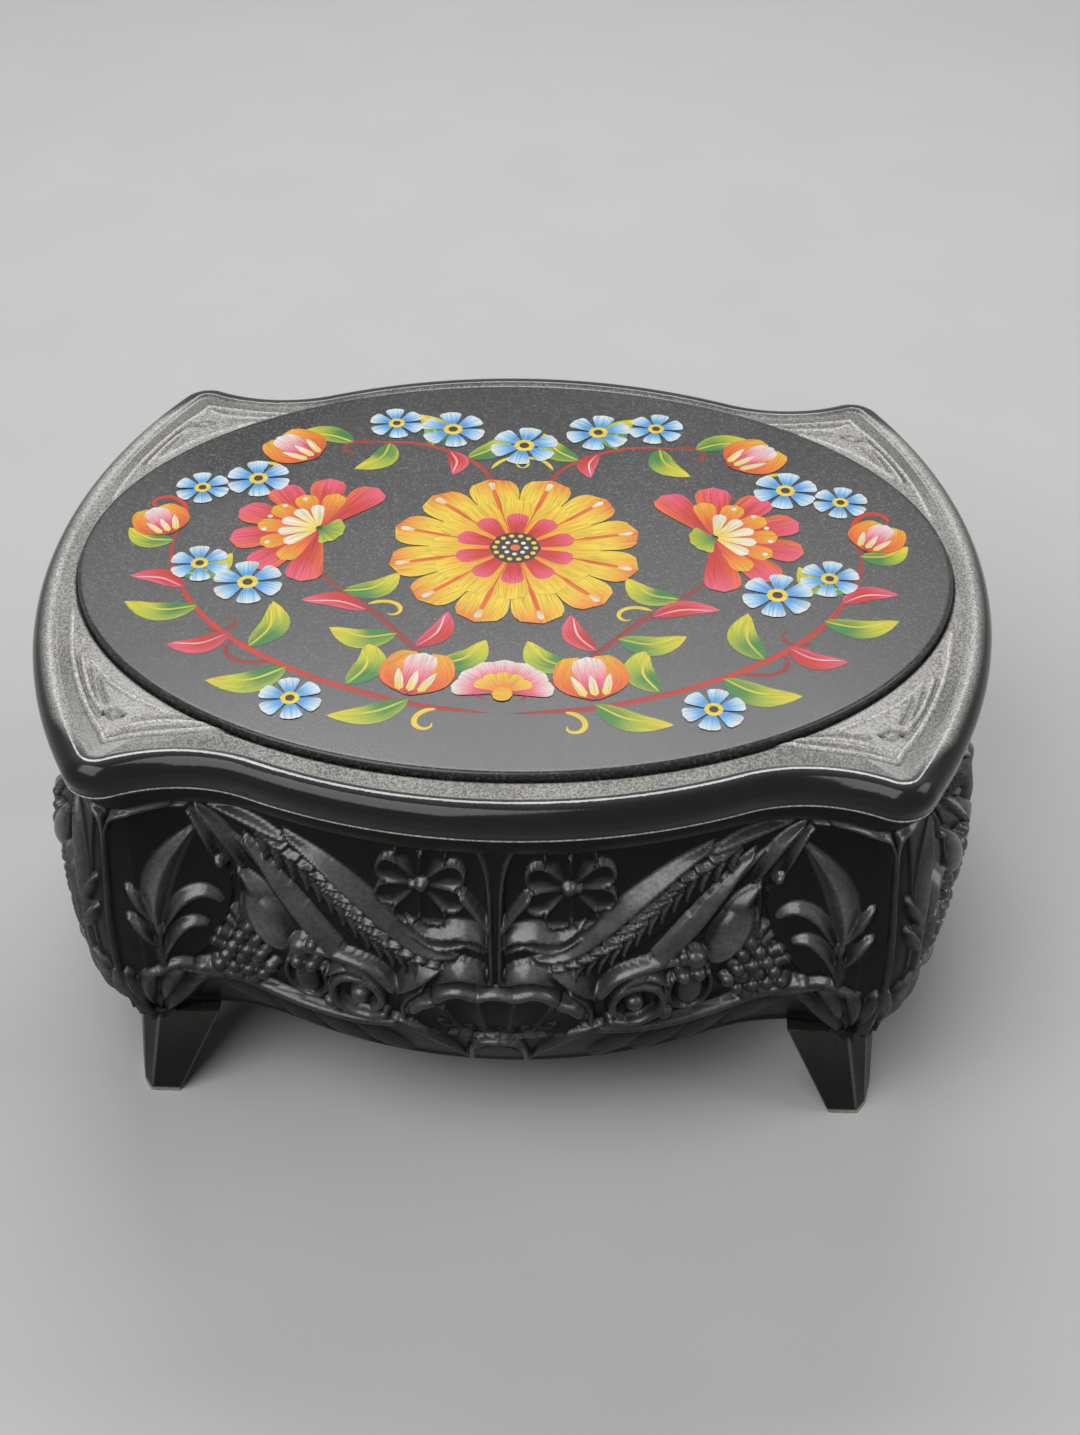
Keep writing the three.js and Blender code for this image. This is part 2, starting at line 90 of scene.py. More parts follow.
def set_camera():
    ahead = Vector(AHEAD).normalized()
    right = Vector(TO_THE_RIGHT)
    right = (right - ahead * right.dot(ahead)).normalized()
    up = right.cross(ahead)
    lens = bpy.data.cameras.new("camera")
    lens.sensor_fit = "VERTICAL"
    lens.sensor_height = FILM_HEIGHT
    lens.lens = LENS_LENGTH
    eye = bpy.data.objects.new("camera", lens)
    turn = Matrix((right, up, -ahead)).transposed().to_4x4()
    eye.matrix_world = Matrix.Translation(Vector(EYE) * MM) @ turn
    bpy.context.scene.collection.objects.link(eye)
    bpy.context.scene.camera = eye
    bpy.context.scene.view_settings.view_transform = "Standard"
    print("camera at", tuple(round(c, 3) for c in eye.location))

set_camera()

# %% [markdown]
# A finish is a small tree of nodes: patterns read the piece's own place (Object coordinates) or a
# value that the modelling stored on it, and feed colour, roughness and bump. The trees could be
# written out node by node, but these short names keep each finish readable on one page. A value
# that is the same everywhere is written straight on the shader.

# %% Shader and nodes
class Shader:
    def __init__(self, name, **constants):
        self.material = bpy.data.materials.new(name)
        self.material.use_nodes = True
        self.tree = self.material.node_tree
        self.shader = self.tree.nodes["Principled BSDF"]
        for socket, value in constants.items():
            self.shader.inputs[socket.replace("_", " ")].default_value = value
        self.place = self.node("TexCoord").outputs["Object"]

    def node(self, kind, **values):
        node = self.tree.nodes.new("ShaderNode" + kind)
        for socket, value in values.items():
            node.inputs[socket.replace("_", " ")].default_value = value
        return node

    def link(self, source, target):
        self.tree.links.new(source, target)

    def set(self, socket, source):
        self.link(source, self.shader.inputs[socket])

print("shader helper ready")

# %% [markdown]
# Patterns are what breaks a surface up: noise at a scale, stretched where it follows a direction,
# a value stored on the mesh, or the height above the table. A span takes the part of a pattern
# between two levels and spreads it over a new range. An image could hold all this, but a pattern
# has no seams and stays sharp from close by.

# %% Patterns
class Patterns(Shader):
    def stretch(self, scale, turn=(0, 0, 0), source=None):
        node = self.node("Mapping", Scale=scale, Rotation=turn)
        self.link(source or self.place, node.inputs["Vector"])
        return node.outputs["Vector"]

    def noise(self, scale, detail=3, rough=0.55, source=None):
        node = self.node("TexNoise", Scale=scale, Detail=detail, Roughness=rough)
        self.link(source or self.place, node.inputs["Vector"])
        return node.outputs["Fac"]

    def stored(self, name, output="Fac"):
        node = self.node("Attribute")
        node.attribute_name = name
        return node.outputs[output]

    def height(self):
        node = self.node("SeparateXYZ")
        self.link(self.place, node.inputs[0])
        return node.outputs["Z"]

    def span(self, source, low, high, to_low=0.0, to_high=1.0):
        node = self.node("MapRange", From_Min=low, From_Max=high, To_Min=to_low, To_Max=to_high)
        self.link(source, node.inputs["Value"])
        return node.outputs["Result"]

print("pattern helpers ready")

# %% [markdown]
# Patterns are combined by sums, products and the larger of two, all kept between 0 and 1. Colours
# are blended by a pattern, and a bump tilts the light as small dents would, where real dents would
# need far too many faces.

# %% Mixing
class Finish(Patterns):
    def combine(self, kind, a, b):
        node = self.node("Math")
        node.operation = kind
        node.use_clamp = True
        for socket, value in zip(node.inputs, (a, b)):
            if isinstance(value, (int, float)):
                socket.default_value = value
            else:
                self.link(value, socket)
        return node.outputs[0]

    def times(self, a, b):
        return self.combine("MULTIPLY", a, b)

    def blend(self, share, a, b):
        node = self.node("Mix")
        node.data_type = "RGBA"
        self.link(share, node.inputs["Factor"])
        for socket, value in (("A", a), ("B", b)):
            if isinstance(value, tuple):
                node.inputs[socket].default_value = (*value, 1)
            else:
                self.link(value, node.inputs[socket])
        return node.outputs["Result"]

    def bump(self, height, strength, distance, under=None):
        node = self.node("Bump", Strength=strength, Distance=distance)
        self.link(height, node.inputs["Height"])
        if under:
            self.link(under, node.inputs["Normal"])
        return node.outputs["Normal"]

print("finish helpers ready")

# %% [markdown]
# The box stands in front of a plain pale grey. It could be lit up by lamps, but that light would
# fall on the box as well. The Light Path node tells what kind of ray arrives, so the grey is shown
# only to the eye, to reflections and through clear things, and never works as a lamp.

# %% Background
BACKGROUND = (0.80, 0.80, 0.80, 1)
BACKGROUND_STRENGTH = 0.56

def seen_by_eye(tree):
    rays = tree.nodes.new("ShaderNodeLightPath")
    seen = rays.outputs["Is Camera Ray"]
    for kind in ("Is Glossy Ray", "Is Transmission Ray"):
        either = tree.nodes.new("ShaderNodeMath")
        either.operation = "MAXIMUM"
        tree.links.new(seen, either.inputs[0])
        tree.links.new(rays.outputs[kind], either.inputs[1])
        seen = either.outputs[0]
    return seen

print("background at", BACKGROUND_STRENGTH)

# %% [markdown]
# The floor is a wide sheet of pale paper. Far from the box it fades into the background, so that
# no horizon shows from a low side. The fade is only for the eye and for reflections: as a light
# the paper stays what it is, and it keeps the box's shadow.

# %% Paper floor
FLOOR_HALF = 4
FADE_FROM, FADE_TO = 0.25, 0.85

def make_paper():
    f = Finish("pale_paper", Roughness=0.9, Specular_IOR_Level=0.1)
    f.set("Base Color", f.blend(f.noise(30, 2, 0.5), (0.52, 0.52, 0.515), (0.56, 0.56, 0.555)))
    away = f.node("VectorMath")
    away.operation = "LENGTH"
    f.link(f.place, away.inputs[0])
    far = f.node("MapRange", From_Min=FADE_FROM, From_Max=FADE_TO)
    far.interpolation_type = "SMOOTHSTEP"
    f.link(away.outputs["Value"], far.inputs["Value"])
    pale = f.node("Emission", Color=BACKGROUND, Strength=BACKGROUND_STRENGTH)
    fade = f.node("MixShader")
    f.link(f.times(far.outputs["Result"], seen_by_eye(f.tree)), fade.inputs[0])
    f.link(f.shader.outputs["BSDF"], fade.inputs[1])
    f.link(pale.outputs["Emission"], fade.inputs[2])
    f.link(fade.outputs["Shader"], f.tree.nodes["Material Output"].inputs["Surface"])
    return f.material

def lay_floor():
    bm = bmesh.new()
    bmesh.ops.create_grid(bm, x_segments=2, y_segments=2, size=FLOOR_HALF)
    mesh = bpy.data.meshes.new("floor")
    bm.to_mesh(mesh)
    bm.free()
    mesh.materials.append(make_paper())
    floor = bpy.data.objects.new("floor", mesh)
    bpy.context.scene.collection.objects.link(floor)
    print("floor", 2 * FLOOR_HALF, "m wide")

lay_floor()

# %% [markdown]
# Black plastic shows its shape by what it mirrors, so the lamps are large: a small lamp would give
# hard spots in place of the long soft gleams along the lid's edge. A wide soft lamp stands at the
# front left, a strip behind the box is mirrored in the plate, and a weaker lamp fills the right.

# %% Lamps
def hang_lamp(name, place, towards, width, depth, watts):
    lamp = bpy.data.lights.new(name, "AREA")
    lamp.shape = "RECTANGLE"
    lamp.size = width
    lamp.size_y = depth
    lamp.energy = watts
    holder = bpy.data.objects.new(name, lamp)
    aim = (Vector(towards) - Vector(place)).to_track_quat("-Z", "Y")
    holder.matrix_world = Matrix.Translation(place) @ aim.to_matrix().to_4x4()
    bpy.context.scene.collection.objects.link(holder)
    print(name, watts, "W")

hang_lamp("soft_key", (-0.32, -0.44, 0.78), (0, 0, 0.04), 0.75, 0.75, 6.2)
hang_lamp("back_strip", (-0.05, 0.50, 0.66), (0, 0, 0.06), 0.54, 0.22, 3.3)
hang_lamp("right_fill", (0.74, -0.02, 0.58), (0, 0, 0.04), 0.50, 0.50, 2.2)

# %% [markdown]
# The surroundings are the same pale grey to the eye and to reflections, and much dimmer as a
# light, so that the lamps alone shape the box.

# %% Surroundings
SKY_LIGHT = 0.10

def light_world():
    world = bpy.data.worlds.new("studio")
    bpy.context.scene.world = world
    world.use_nodes = True
    tree = world.node_tree
    dim = tree.nodes["Background"]
    dim.inputs["Color"].default_value = (0.95, 0.97, 1.0, 1)
    dim.inputs["Strength"].default_value = SKY_LIGHT
    pale = tree.nodes.new("ShaderNodeBackground")
    pale.inputs["Color"].default_value = BACKGROUND
    pale.inputs["Strength"].default_value = BACKGROUND_STRENGTH
    choose = tree.nodes.new("ShaderNodeMixShader")
    tree.links.new(seen_by_eye(tree), choose.inputs[0])
    tree.links.new(dim.outputs[0], choose.inputs[1])
    tree.links.new(pale.outputs[0], choose.inputs[2])
    tree.links.new(choose.outputs[0], tree.nodes["World Output"].inputs["Surface"])
    print("surroundings at", SKY_LIGHT)

light_world()

# %% [markdown]
# The box's black plastic has a satin mould skin. Dust sits where the carving is hollow, and the high
# ridges are rubbed smoother, greyer and glossier, while the ground stays dull and deep black. The
# same paler, glossier mark also carries painted highlights and painted shade: on facets by the way
# they face, on some motifs and on the crest of the lid's bead. The modelling stores two values on
# each point, dust and rubbed_and_sheen, and the finish breaks both up with noise so that no
# edge of them is even. The fine bump is the skin of the mould. One recipe serves walls, lid and
# feet, each with its own colours; the feet are also worn pale at the floor.

# %% Black plastic
WORN_BELOW, CLEAN_ABOVE = 0.0005, 0.0009

def make_plastic(name, black, dust, rubbed_and_sheen, gloss, levels, worn_foot=False):
    f = Finish(name, IOR=1.5, Specular_IOR_Level=levels[0])
    clouds = f.noise(90, 4)
    specks = f.noise(1500, 2, 0.7)
    grit = f.noise(3200, 1)
    settled = f.times(f.stored("dust"), f.span(clouds, 0.30, 0.62, 0.85, 1.0))
    settled = f.times(settled, f.span(specks, 0.30, 0.62, 0.68, 1.0))
    settled = f.times(settled, f.span(grit, 0.38, 0.60, 0.48, 1.0))
    # Partly wear and partly painted highlight and shade: the stored mark is painted paler and glossier.
    touched = f.stored("rubbed_and_sheen")
    if worn_foot:
        scraped = f.span(f.height(), WORN_BELOW, CLEAN_ABOVE, 1.0, 0.0)
        touched = f.combine("MAXIMUM", touched, scraped)
    worn_and_sheen = f.times(touched, f.span(clouds, 0.30, 0.62, 0.6, 1.0))
    worn_and_sheen = f.times(worn_and_sheen, f.span(specks, 0.30, 0.62, 0.6, 1.0))
    skin = f.blend(f.span(clouds, 0.3, 0.7), black, tuple(1.5 * c for c in black))
    skin = f.blend(worn_and_sheen, skin, rubbed_and_sheen)
    f.set("Base Color", f.blend(settled, skin, dust))
    shine = f.span(clouds, 0.3, 0.7, gloss - 0.05, gloss + 0.07)
    shine = f.combine("SUBTRACT", shine, f.times(worn_and_sheen, 0.12))
    f.set("Roughness", f.combine("ADD", shine, f.times(settled, 0.45)))
    if levels[1] > levels[0]:
        f.set("Specular IOR Level", f.span(worn_and_sheen, 0.0, 0.7, *levels))
    f.set("Normal", f.bump(specks, 0.22, 0.00006, f.bump(f.noise(420, 3), 0.25, 0.0001)))
    print(name, "made")
    return f.material

carved_plastic = make_plastic("carved_plastic", black=(0.0045, 0.0044, 0.0044),
                              dust=(0.060, 0.053, 0.043), rubbed_and_sheen=(0.105, 0.106, 0.103),
                              gloss=0.31, levels=(0.10, 0.75))
lid_plastic = make_plastic("lid_plastic", black=(0.0055, 0.0055, 0.0060),
                           dust=(0.80, 0.78, 0.725), rubbed_and_sheen=(0.030, 0.030, 0.032),
                           gloss=0.12, levels=(0.32, 0.9))
foot_plastic = make_plastic("foot_plastic", black=(0.0055, 0.0055, 0.0055),
                            dust=(0.12, 0.11, 0.095), rubbed_and_sheen=(0.42, 0.40, 0.36),
                            gloss=0.33, levels=(0.20, 0.20), worn_foot=True)

# %% [markdown]
# Seen from above, walls and lid share one kind of outline: a bow, a hollow, a round corner and a
# plain bow at each end, all arcs that touch. Two arcs touch where the line through their centres
# meets them, so the lengths of the sides give every centre. Each arc is noted with its centre,
# radius, first and last angle, and a 1 where it bulges out of the box or a -1 where it bulges in.

# %% Arcs of the outline
LENGTH, WIDTH = 144.0, 113.8
END_RADIUS, BOW_RADIUS, HOLLOW_RADIUS = 98.0, 86.0, 22.0

def heading(a, b):
    return math.atan2(b[1] - a[1], b[0] - a[0])

def outline_arcs(corner_radius, corner_setback):
    bow = np.array((0, WIDTH / 2 - BOW_RADIUS))
    end = np.array((LENGTH / 2 - END_RADIUS, 0))
    high = WIDTH / 2 - corner_setback - corner_radius
    reach = math.sqrt((END_RADIUS - corner_radius) ** 2 - high ** 2)
    corner = np.array((end[0] + reach, high))
    between = corner - bow
    gap = np.hypot(*between)
    to_bow, to_corner = BOW_RADIUS + HOLLOW_RADIUS, corner_radius + HOLLOW_RADIUS
    on = (to_bow ** 2 - to_corner ** 2 + gap ** 2) / (2 * gap)
    unit = between / gap
    aside = np.array((-unit[1], unit[0])) * math.sqrt(to_bow ** 2 - on ** 2)
    hollow = bow + unit * on + aside
    return [(bow, BOW_RADIUS, math.pi / 2, heading(bow, hollow), 1),
            (hollow, HOLLOW_RADIUS, heading(hollow, bow), heading(hollow, corner), -1),
            (corner, corner_radius, heading(corner, hollow), heading(end, corner), 1),
            (end, END_RADIUS, heading(end, corner), 0.0, 1)]

print("outline", LENGTH, "by", WIDTH, "mm")

# %% [markdown]
# The outline could be a curve object, but the carving needs exact distances, so one quarter is
# worked out as a row of points with their outward direction and their distance along it. A place
# on a wall is then given by how far along it lies, how high, and how deep under the outline. The
# mitre is where two walls meet, in the middle of the round corner.

# %% Plan of the box
class Plan:
    def __init__(self, corner_radius, corner_setback, steps=1200):
        arcs = outline_arcs(corner_radius, corner_setback)
        points, outward = [], []
        for centre, radius, start, stop, side in arcs:
            a = np.linspace(start, stop, steps)
            ray = np.stack((np.cos(a), np.sin(a)), 1)
            points.append(centre + radius * ray)
            outward.append(side * ray)
        self.points = np.vstack(points)
        self.outward = np.vstack(outward)
        strides = np.hypot(*np.diff(self.points, axis=0).T)
        self.walked = np.concatenate(([0], np.cumsum(strides)))
        self.quarter = self.walked[-1]
        middle = (arcs[2][2] + arcs[2][3]) / 2
        at_corner = slice(2 * steps, 3 * steps)
        turned = np.arctan2(self.outward[at_corner, 1], self.outward[at_corner, 0])
        self.mitre = float(np.interp(-middle, -turned, self.walked[at_corner]))

    def at(self, walked, inset):
        def pick(table):
            return np.stack([np.interp(walked, self.walked, table[:, k]) for k in (0, 1)], -1)
        return pick(self.points) - pick(self.outward) * np.asarray(inset)[..., None]

wall_plan = Plan(corner_radius=8.7, corner_setback=6.8)
lid_plan = Plan(corner_radius=5.5, corner_setback=6.2)
print("walls meet", round(wall_plan.mitre, 2), "mm from the middle of the front")

# %% [markdown]
# From the side the wall swells: it is widest at 35 mm above the table, draws in to the plain neck
# at 60 mm, and draws in faster below. Two parabolas give that line; the number is how far the wall
# lies inside the plan at a height.

# %% Swell of the wall
BELLY_AT, NECK_AT, EDGE_MIDDLE = 35, 60, 12.5
BELLY_INSET, NECK_INSET, EDGE_INSET = -1.5, 3.4, 6.4

def wall_inset(z):
    up = (z - BELLY_AT) / (NECK_AT - BELLY_AT)
    down = (z - BELLY_AT) / (BELLY_AT - EDGE_MIDDLE)
    above = BELLY_INSET + (NECK_INSET - BELLY_INSET) * up ** 2
    below = BELLY_INSET + (EDGE_INSET - BELLY_INSET) * down ** 2
    return np.where(z >= NECK_AT, NECK_INSET, np.where(z > BELLY_AT, above, below))

print("belly", BELLY_INSET, "neck", NECK_INSET, "mm inside the plan")

# %% [markdown]
# Leaves, stems and brush strokes all follow a soft line through a few given points. A curve object
# could give it, but only the points along it are needed, so they are worked out directly: each
# stretch is bent so that it leaves one point in the direction of its two neighbours.

# %% Soft lines
def smooth_line(points, steps=9):
    p = np.array(points, float)
    if len(p) < 3:
        return p
    p = np.vstack((2 * p[0] - p[1], p, 2 * p[-1] - p[-2]))
    t = np.linspace(0, 1, steps, endpoint=False)[:, None]
    runs = []
    for a, b, c, d in zip(p, p[1:], p[2:], p[3:]):
        bend = (2 * a - 5 * b + 4 * c - d) * t ** 2 + (3 * b - a - 3 * c + d) * t ** 3
        runs.append(b + 0.5 * ((c - a) * t + bend))
    return np.vstack(runs + [p[-2:-1]])

print("soft lines ready")

# %% [markdown]
# The carving is worked out as a height above the ground of a flattened wall, and then laid round
# the real one. It could be sculpted from separate solids, but moulded relief has no gaps under
# its leaves, and a height map gives the same drafted edges as the mould. Each motif is a line
# with a width or an oval, and the highest motif wins at every point. A motif can also be marked
# as worn: it is painted paler and glossier, partly wear and partly a painted highlight.

# %% Ground for the carving
class Ground:
    def __init__(self, along, up):
        self.x = np.abs(along)
        self.y = up
        self.height = np.zeros(up.shape)
        self.worn_and_sheen = np.zeros(up.shape)

    def raise_to(self, where, height, worn_and_sheen=0.0):
        self.height[where] = np.maximum(self.height[where], height)
        pale = worn_and_sheen * height / np.max(height, initial=1e-9)
        self.worn_and_sheen[where] = np.maximum(self.worn_and_sheen[where], pale)

    def bed(self, height):
        self.height = np.maximum(self.height, height)

    def near(self, points, reach):
        low, high = np.min(points, 0) - reach, np.max(points, 0) + reach
        in_x = (self.x > low[0]) & (self.x < high[0])
        in_y = (self.y > low[1]) & (self.y < high[1])
        return np.nonzero(in_x & in_y)

    def follow(self, points, reach):
        line = smooth_line(points)
        where = self.near(line, reach)
        x, y = self.x[where], self.y[where]
        best, side, share = np.full(x.shape, 1e9), np.zeros(x.shape), np.zeros(x.shape)
        lengths = np.hypot(*np.diff(line, axis=0).T)
        walked, total = 0.0, lengths.sum()
        for start, stop, length in zip(line, line[1:], lengths):
            ex, ey = (stop - start) / max(length, 1e-9)
            on = np.clip((x - start[0]) * ex + (y - start[1]) * ey, 0, length)
            dx, dy = x - start[0] - on * ex, y - start[1] - on * ey
            away = dx * dx + dy * dy
            closer = away < best
            best = np.where(closer, away, best)
            side = np.where(closer, np.sign(ex * dy - ey * dx), side)
            share = np.where(closer, (walked + on) / total, share)
            walked += length
        return where, side * np.sqrt(best), share

print("ground ready")

# %% [markdown]
# These tools cut the motifs. A leaf swells and tapers along its line and is highest on a ridge,
# which can lie to one side. A strand is a round cord, a groove takes away what a strand would add,
# and a dome is an oval cap for berries, pods and buds.

# %% Carving tools
class Carving(Ground):
    def leaf(self, points, width, height, ridge=0.0, edge=(0.1, 0.1), keel=1.0, bulge=1.0, worn_and_sheen=0.0):
        where, away, share = self.follow(points, width)
        half = width / 2 * np.sin(np.pi * np.clip(share, 1e-4, 0.9999) ** bulge) ** 0.75
        x = away / np.maximum(half, 1e-3)
        right = edge[0] + (1 - edge[0]) * np.clip((x + 1) / (ridge + 1), 0, 1) ** keel
        left = edge[1] + (1 - edge[1]) * np.clip((1 - x) / (1 - ridge), 0, 1) ** keel
        top = np.minimum(right, left) * (0.65 + 0.35 * np.sin(np.pi * np.clip(share, 0, 1)))
        self.raise_to(where, np.where(np.abs(x) < 1, height * top, 0), worn_and_sheen)

    def groove(self, points, radius, depth):
        where, away, _ = self.follow(points, radius)
        self.height[where] -= depth * np.sqrt(np.clip(1 - (away / radius) ** 2, 0, 1))

    def strand(self, points, radius, height, thin=0.0):
        where, away, share = self.follow(points, radius)
        r = radius * (1 - thin * share)
        self.raise_to(where, height * np.sqrt(np.clip(1 - (away / r) ** 2, 0, 1)))

    def dome(self, centre, long, wide, turn, height, foot=0.0, worn_and_sheen=0.0):
        where = self.near(np.array([centre]), max(long, wide))
        c, s = math.cos(math.radians(turn)), math.sin(math.radians(turn))
        x, y = self.x[where] - centre[0], self.y[where] - centre[1]
        inside = 1 - ((x * c + y * s) / long) ** 2 - ((y * c - x * s) / wide) ** 2
        cap = foot + height * np.sqrt(np.clip(inside, 0, 1))
        self.raise_to(where, np.where(inside > 0, cap, 0), worn_and_sheen)

print("carving tools ready")

# %% [markdown]
# A flower and the shell are made of petals: each fills a wedge of a circle, is round at its outer
# end, hollow in the middle and has a thin raised rim. The depth inside a petal is the distance to
# its nearest edge, either the straight flank or the round end.

# %% Petals of the carving
def carve_petals(c, centre, radius, bounds, floor, rim, ridge=0.3, inner=0.0):
    where = c.near(np.array([centre]), radius)
    x, y = c.x[where] - centre[0], c.y[where] - centre[1]
    out, turn = np.hypot(x, y), np.degrees(np.arctan2(x, y))
    for low, high in bounds:
        half = math.radians(high - low) / 2
        off = np.radians(np.abs((turn - (low + high) / 2 + 180) % 360 - 180))
        seat = radius / (1 + math.sin(half))
        bowl = seat * math.sin(half)
        on_flank = out * np.cos(half - off) < seat * math.cos(half)
        to_flank = out * np.sin(half - off)
        to_end = bowl - np.hypot(out * np.cos(off) - seat, out * np.sin(off))
        inside = np.where(on_flank, to_flank, to_end)
        lip = np.where(on_flank, 0.25, 0.55) * np.exp(-(inside / ridge) ** 2)
        rise = lip + 0.45 * np.clip(1 - inside / bowl, 0, 1) ** 2
        rise = rise * np.clip(out / (0.6 * radius), 0.25, 1)
        here = (inside > 0) & (off < half) & (out > inner)
        c.raise_to(where, np.where(here, floor + (rim - floor) * rise, 0))

print("petals ready")

# %% [markdown]
# Each wall shows a stem with two open flowers, curling leaves, feathered plumes, pods, berries and
# scrolls over a shell, with a leafy sprig on each corner and a knot of folds above each foot. The
# two halves mirror each other, so only one is drawn: the first number runs from the middle
# outwards, the second up from the table. First the stem with its flower and two curling leaves.

# %% Stem and flower
FLOWER_AT, FLOWER_RADIUS = (10.8, 53.4), 6.9

def carve_stem(c):
    stem = np.interp(c.y, (37, 50, 56, 59), (0.5, 0.6, 1.0, 2.0))
    c.bed(np.where((c.x < stem) & (c.y > 37), 0.75, 0))
    c.strand([(0.6, 37.4), (0.75, 50), (1.2, 56), (2.4, 59.6)], 0.42, 1.35)
    c.strand([(0.8, 46.8), (2.6, 49.6), (4.7, 52.4)], 0.62, 1.45)
    eight = [(45 * k, 45 * k + 45) for k in range(8)]
    carve_petals(c, FLOWER_AT, FLOWER_RADIUS, eight, 0.40, 1.20, ridge=0.26)
    c.dome((10.5, 53.6), 1.1, 1.0, 0, 0.9, 0.5)
    c.dome((11.9, 53.4), 0.7, 0.7, 0, 0.7, 0.4)
    c.leaf([(0.8, 43.6), (2.2, 45.9), (5.6, 46.6), (9.4, 46.0), (13.2, 48.2)], 2.3, 1.8,
           ridge=-0.62, edge=(0.4, 0.02), bulge=0.75)
    c.leaf([(0.9, 42.1), (4, 44.0), (8.5, 43.2), (12.8, 45.2)], 1.4, 1.3, ridge=-0.2)

print("stem drawn, flower", 2 * FLOWER_RADIUS, "mm wide")

# %% [markdown]
# The plume is a broad blade with a row of fine barbs under it, set in two directions like the
# bones of a herring, and a second quill below. The barbs are thin strands on a low bed, because a
# pattern in the finish would not show at the outline.

# %% Plume
BARB_ROOTS = [(8.2, 39.9), (13.5, 42.6), (19, 47.4), (24.6, 51.8), (31.5, 55.0)]
BARB_RADIUS, BARB_HEIGHT = 0.33, 1.3

def carve_plume(c):
    c.leaf([(7, 40.4), (15, 42.2), (21, 46.4), (28, 51.6), (39, 57.4)], 7.0, 0.45, edge=(0.85, 0.85))
    for x, y in smooth_line(BARB_ROOTS, 3):
        upper = [(x, y), (x + 2.0, y + 0.3), (x + 4.2, y + 1.2)]
        lower = [(x + 2.9, y - 2.4), (x + 3.4, y - 0.8), (x + 4.5, y + 1.0)]
        c.strand(upper, BARB_RADIUS, BARB_HEIGHT, thin=0.2)
        c.strand(lower, BARB_RADIUS, BARB_HEIGHT, thin=0.2)
    c.leaf([(5.4, 41.4), (10, 42.6), (15, 46.6), (20, 50.8), (26, 54.6), (32.5, 57.2)], 2.5, 1.8,
           ridge=-0.85, edge=(0.4, 0.05), bulge=0.85)
    c.leaf([(19.4, 35.0), (24.6, 39.4), (30.2, 45), (35.2, 49.8), (39.4, 54.4)], 3.2, 0.75)
    c.leaf([(16.6, 34.4), (22.2, 39.0), (27.9, 44.7), (33.0, 49.9), (38.2, 54.8)], 2.5, 1.9,
           ridge=-0.6, edge=(0.3, 0.35))

print("plume drawn with", 2 * len(smooth_line(BARB_ROOTS, 3)), "barbs")

# %% [markdown]
# Outside the quill hang a smooth pod and a bunch of berries, and under it a scroll rolls round a
# bud. Berries are domes in slanting rows, each pushed a little off its place so that the bunch
# does not look ruled.

# %% Pod, berries and scrolls
BERRY_ROWS = ((41.0, 39.0, 1), (39.0, 37.6, 2), (36.8, 36.6, 3), (34.6, 35.4, 4),
              (32.3, 34.4, 4), (30.2, 35.6, 4), (28.4, 37.4, 3))
BERRY_STEP = 2.35

def carve_pod(c):
    c.leaf([(34.4, 42.6), (36.4, 45.8), (38.6, 49.0)], 4.4, 1.5, ridge=0.2, keel=0.7, bulge=0.6)
    # Painted highlight: the pod is marked as worn, so it is painted paler and glossier.
    c.dome((34.3, 41.4), 5.6, 3.2, 58, 1.9, 0.1, worn_and_sheen=0.75)
    c.strand([(35.6, 36.6), (37.8, 40.4), (38.6, 44.6), (38.6, 48.8)], 0.5, 1.3)
    for y, x, count in BERRY_ROWS:
        for k in range(count):
            wobble = 0.3 * math.sin(7.3 * x + 11.9 * k + 3.1 * y)
            c.dome((x + BERRY_STEP * k + wobble, y - wobble), 1.35, 1.3, 0, 1.35, 0.25)

def carve_scroll(c):
    c.strand([(15.0, 34.8), (17.2, 37.5), (20, 38.7), (24, 39.4), (28, 39.2)], 0.95, 1.7)
    c.dome((28.9, 39.0), 1.9, 1.6, -20, 1.4, 0.6)
    c.dome((26.8, 40.1), 0.9, 0.9, 0, 0.9, 1.0)
    turns = zip(np.radians(np.linspace(-130, 230, 14)), np.linspace(5.0, 3.0, 14))
    c.strand([(20 + r * math.cos(a), 31.6 + r * math.sin(a)) for a, r in turns], 0.9, 1.55)
    c.dome((20, 31.8), 1.7, 1.6, 0, 1.4, 0.3)
    c.leaf([(18.6, 35.6), (22, 36.9), (25.4, 34.0)], 2.2, 1.8, ridge=0.3, edge=(0.5, 0.1))
    c.dome((24.8, 28.2), 1.5, 1.2, 40, 1.3, 0.4)
    hoop = np.radians(np.linspace(150, 390, 12))
    c.strand([(28.3 + 3.2 * math.cos(a), 33.0 + 4.6 * math.sin(a)) for a in hoop], 0.55, 1.2)
    c.dome((28.3, 32.6), 3.4, 2.3, 90, 1.4, 0.2)
    for x in (27.2, 29.5):
        c.dome((x, 35.6), 1.25, 1.25, 0, 1.2, 0.5)

print("berries in a bunch", sum(row[2] for row in BERRY_ROWS))

# %% [markdown]
# Each corner of the wall carries a sprig: a tall leaf with two pairs of smaller ones. It stands on
# a plain field with a rounded edge, which is a low bed with a groove round it. The tall leaf is
# painted paler and glossier than the rest, a painted highlight.

# %% Corner sprig
SHIELD_HEIGHTS = (30.6, 34.6, 40, 45, 49.4, 54, 58.8)
SHIELD_EDGE = (46, 42.9, 40.4, 39.4, 39.9, 41.8, 45)

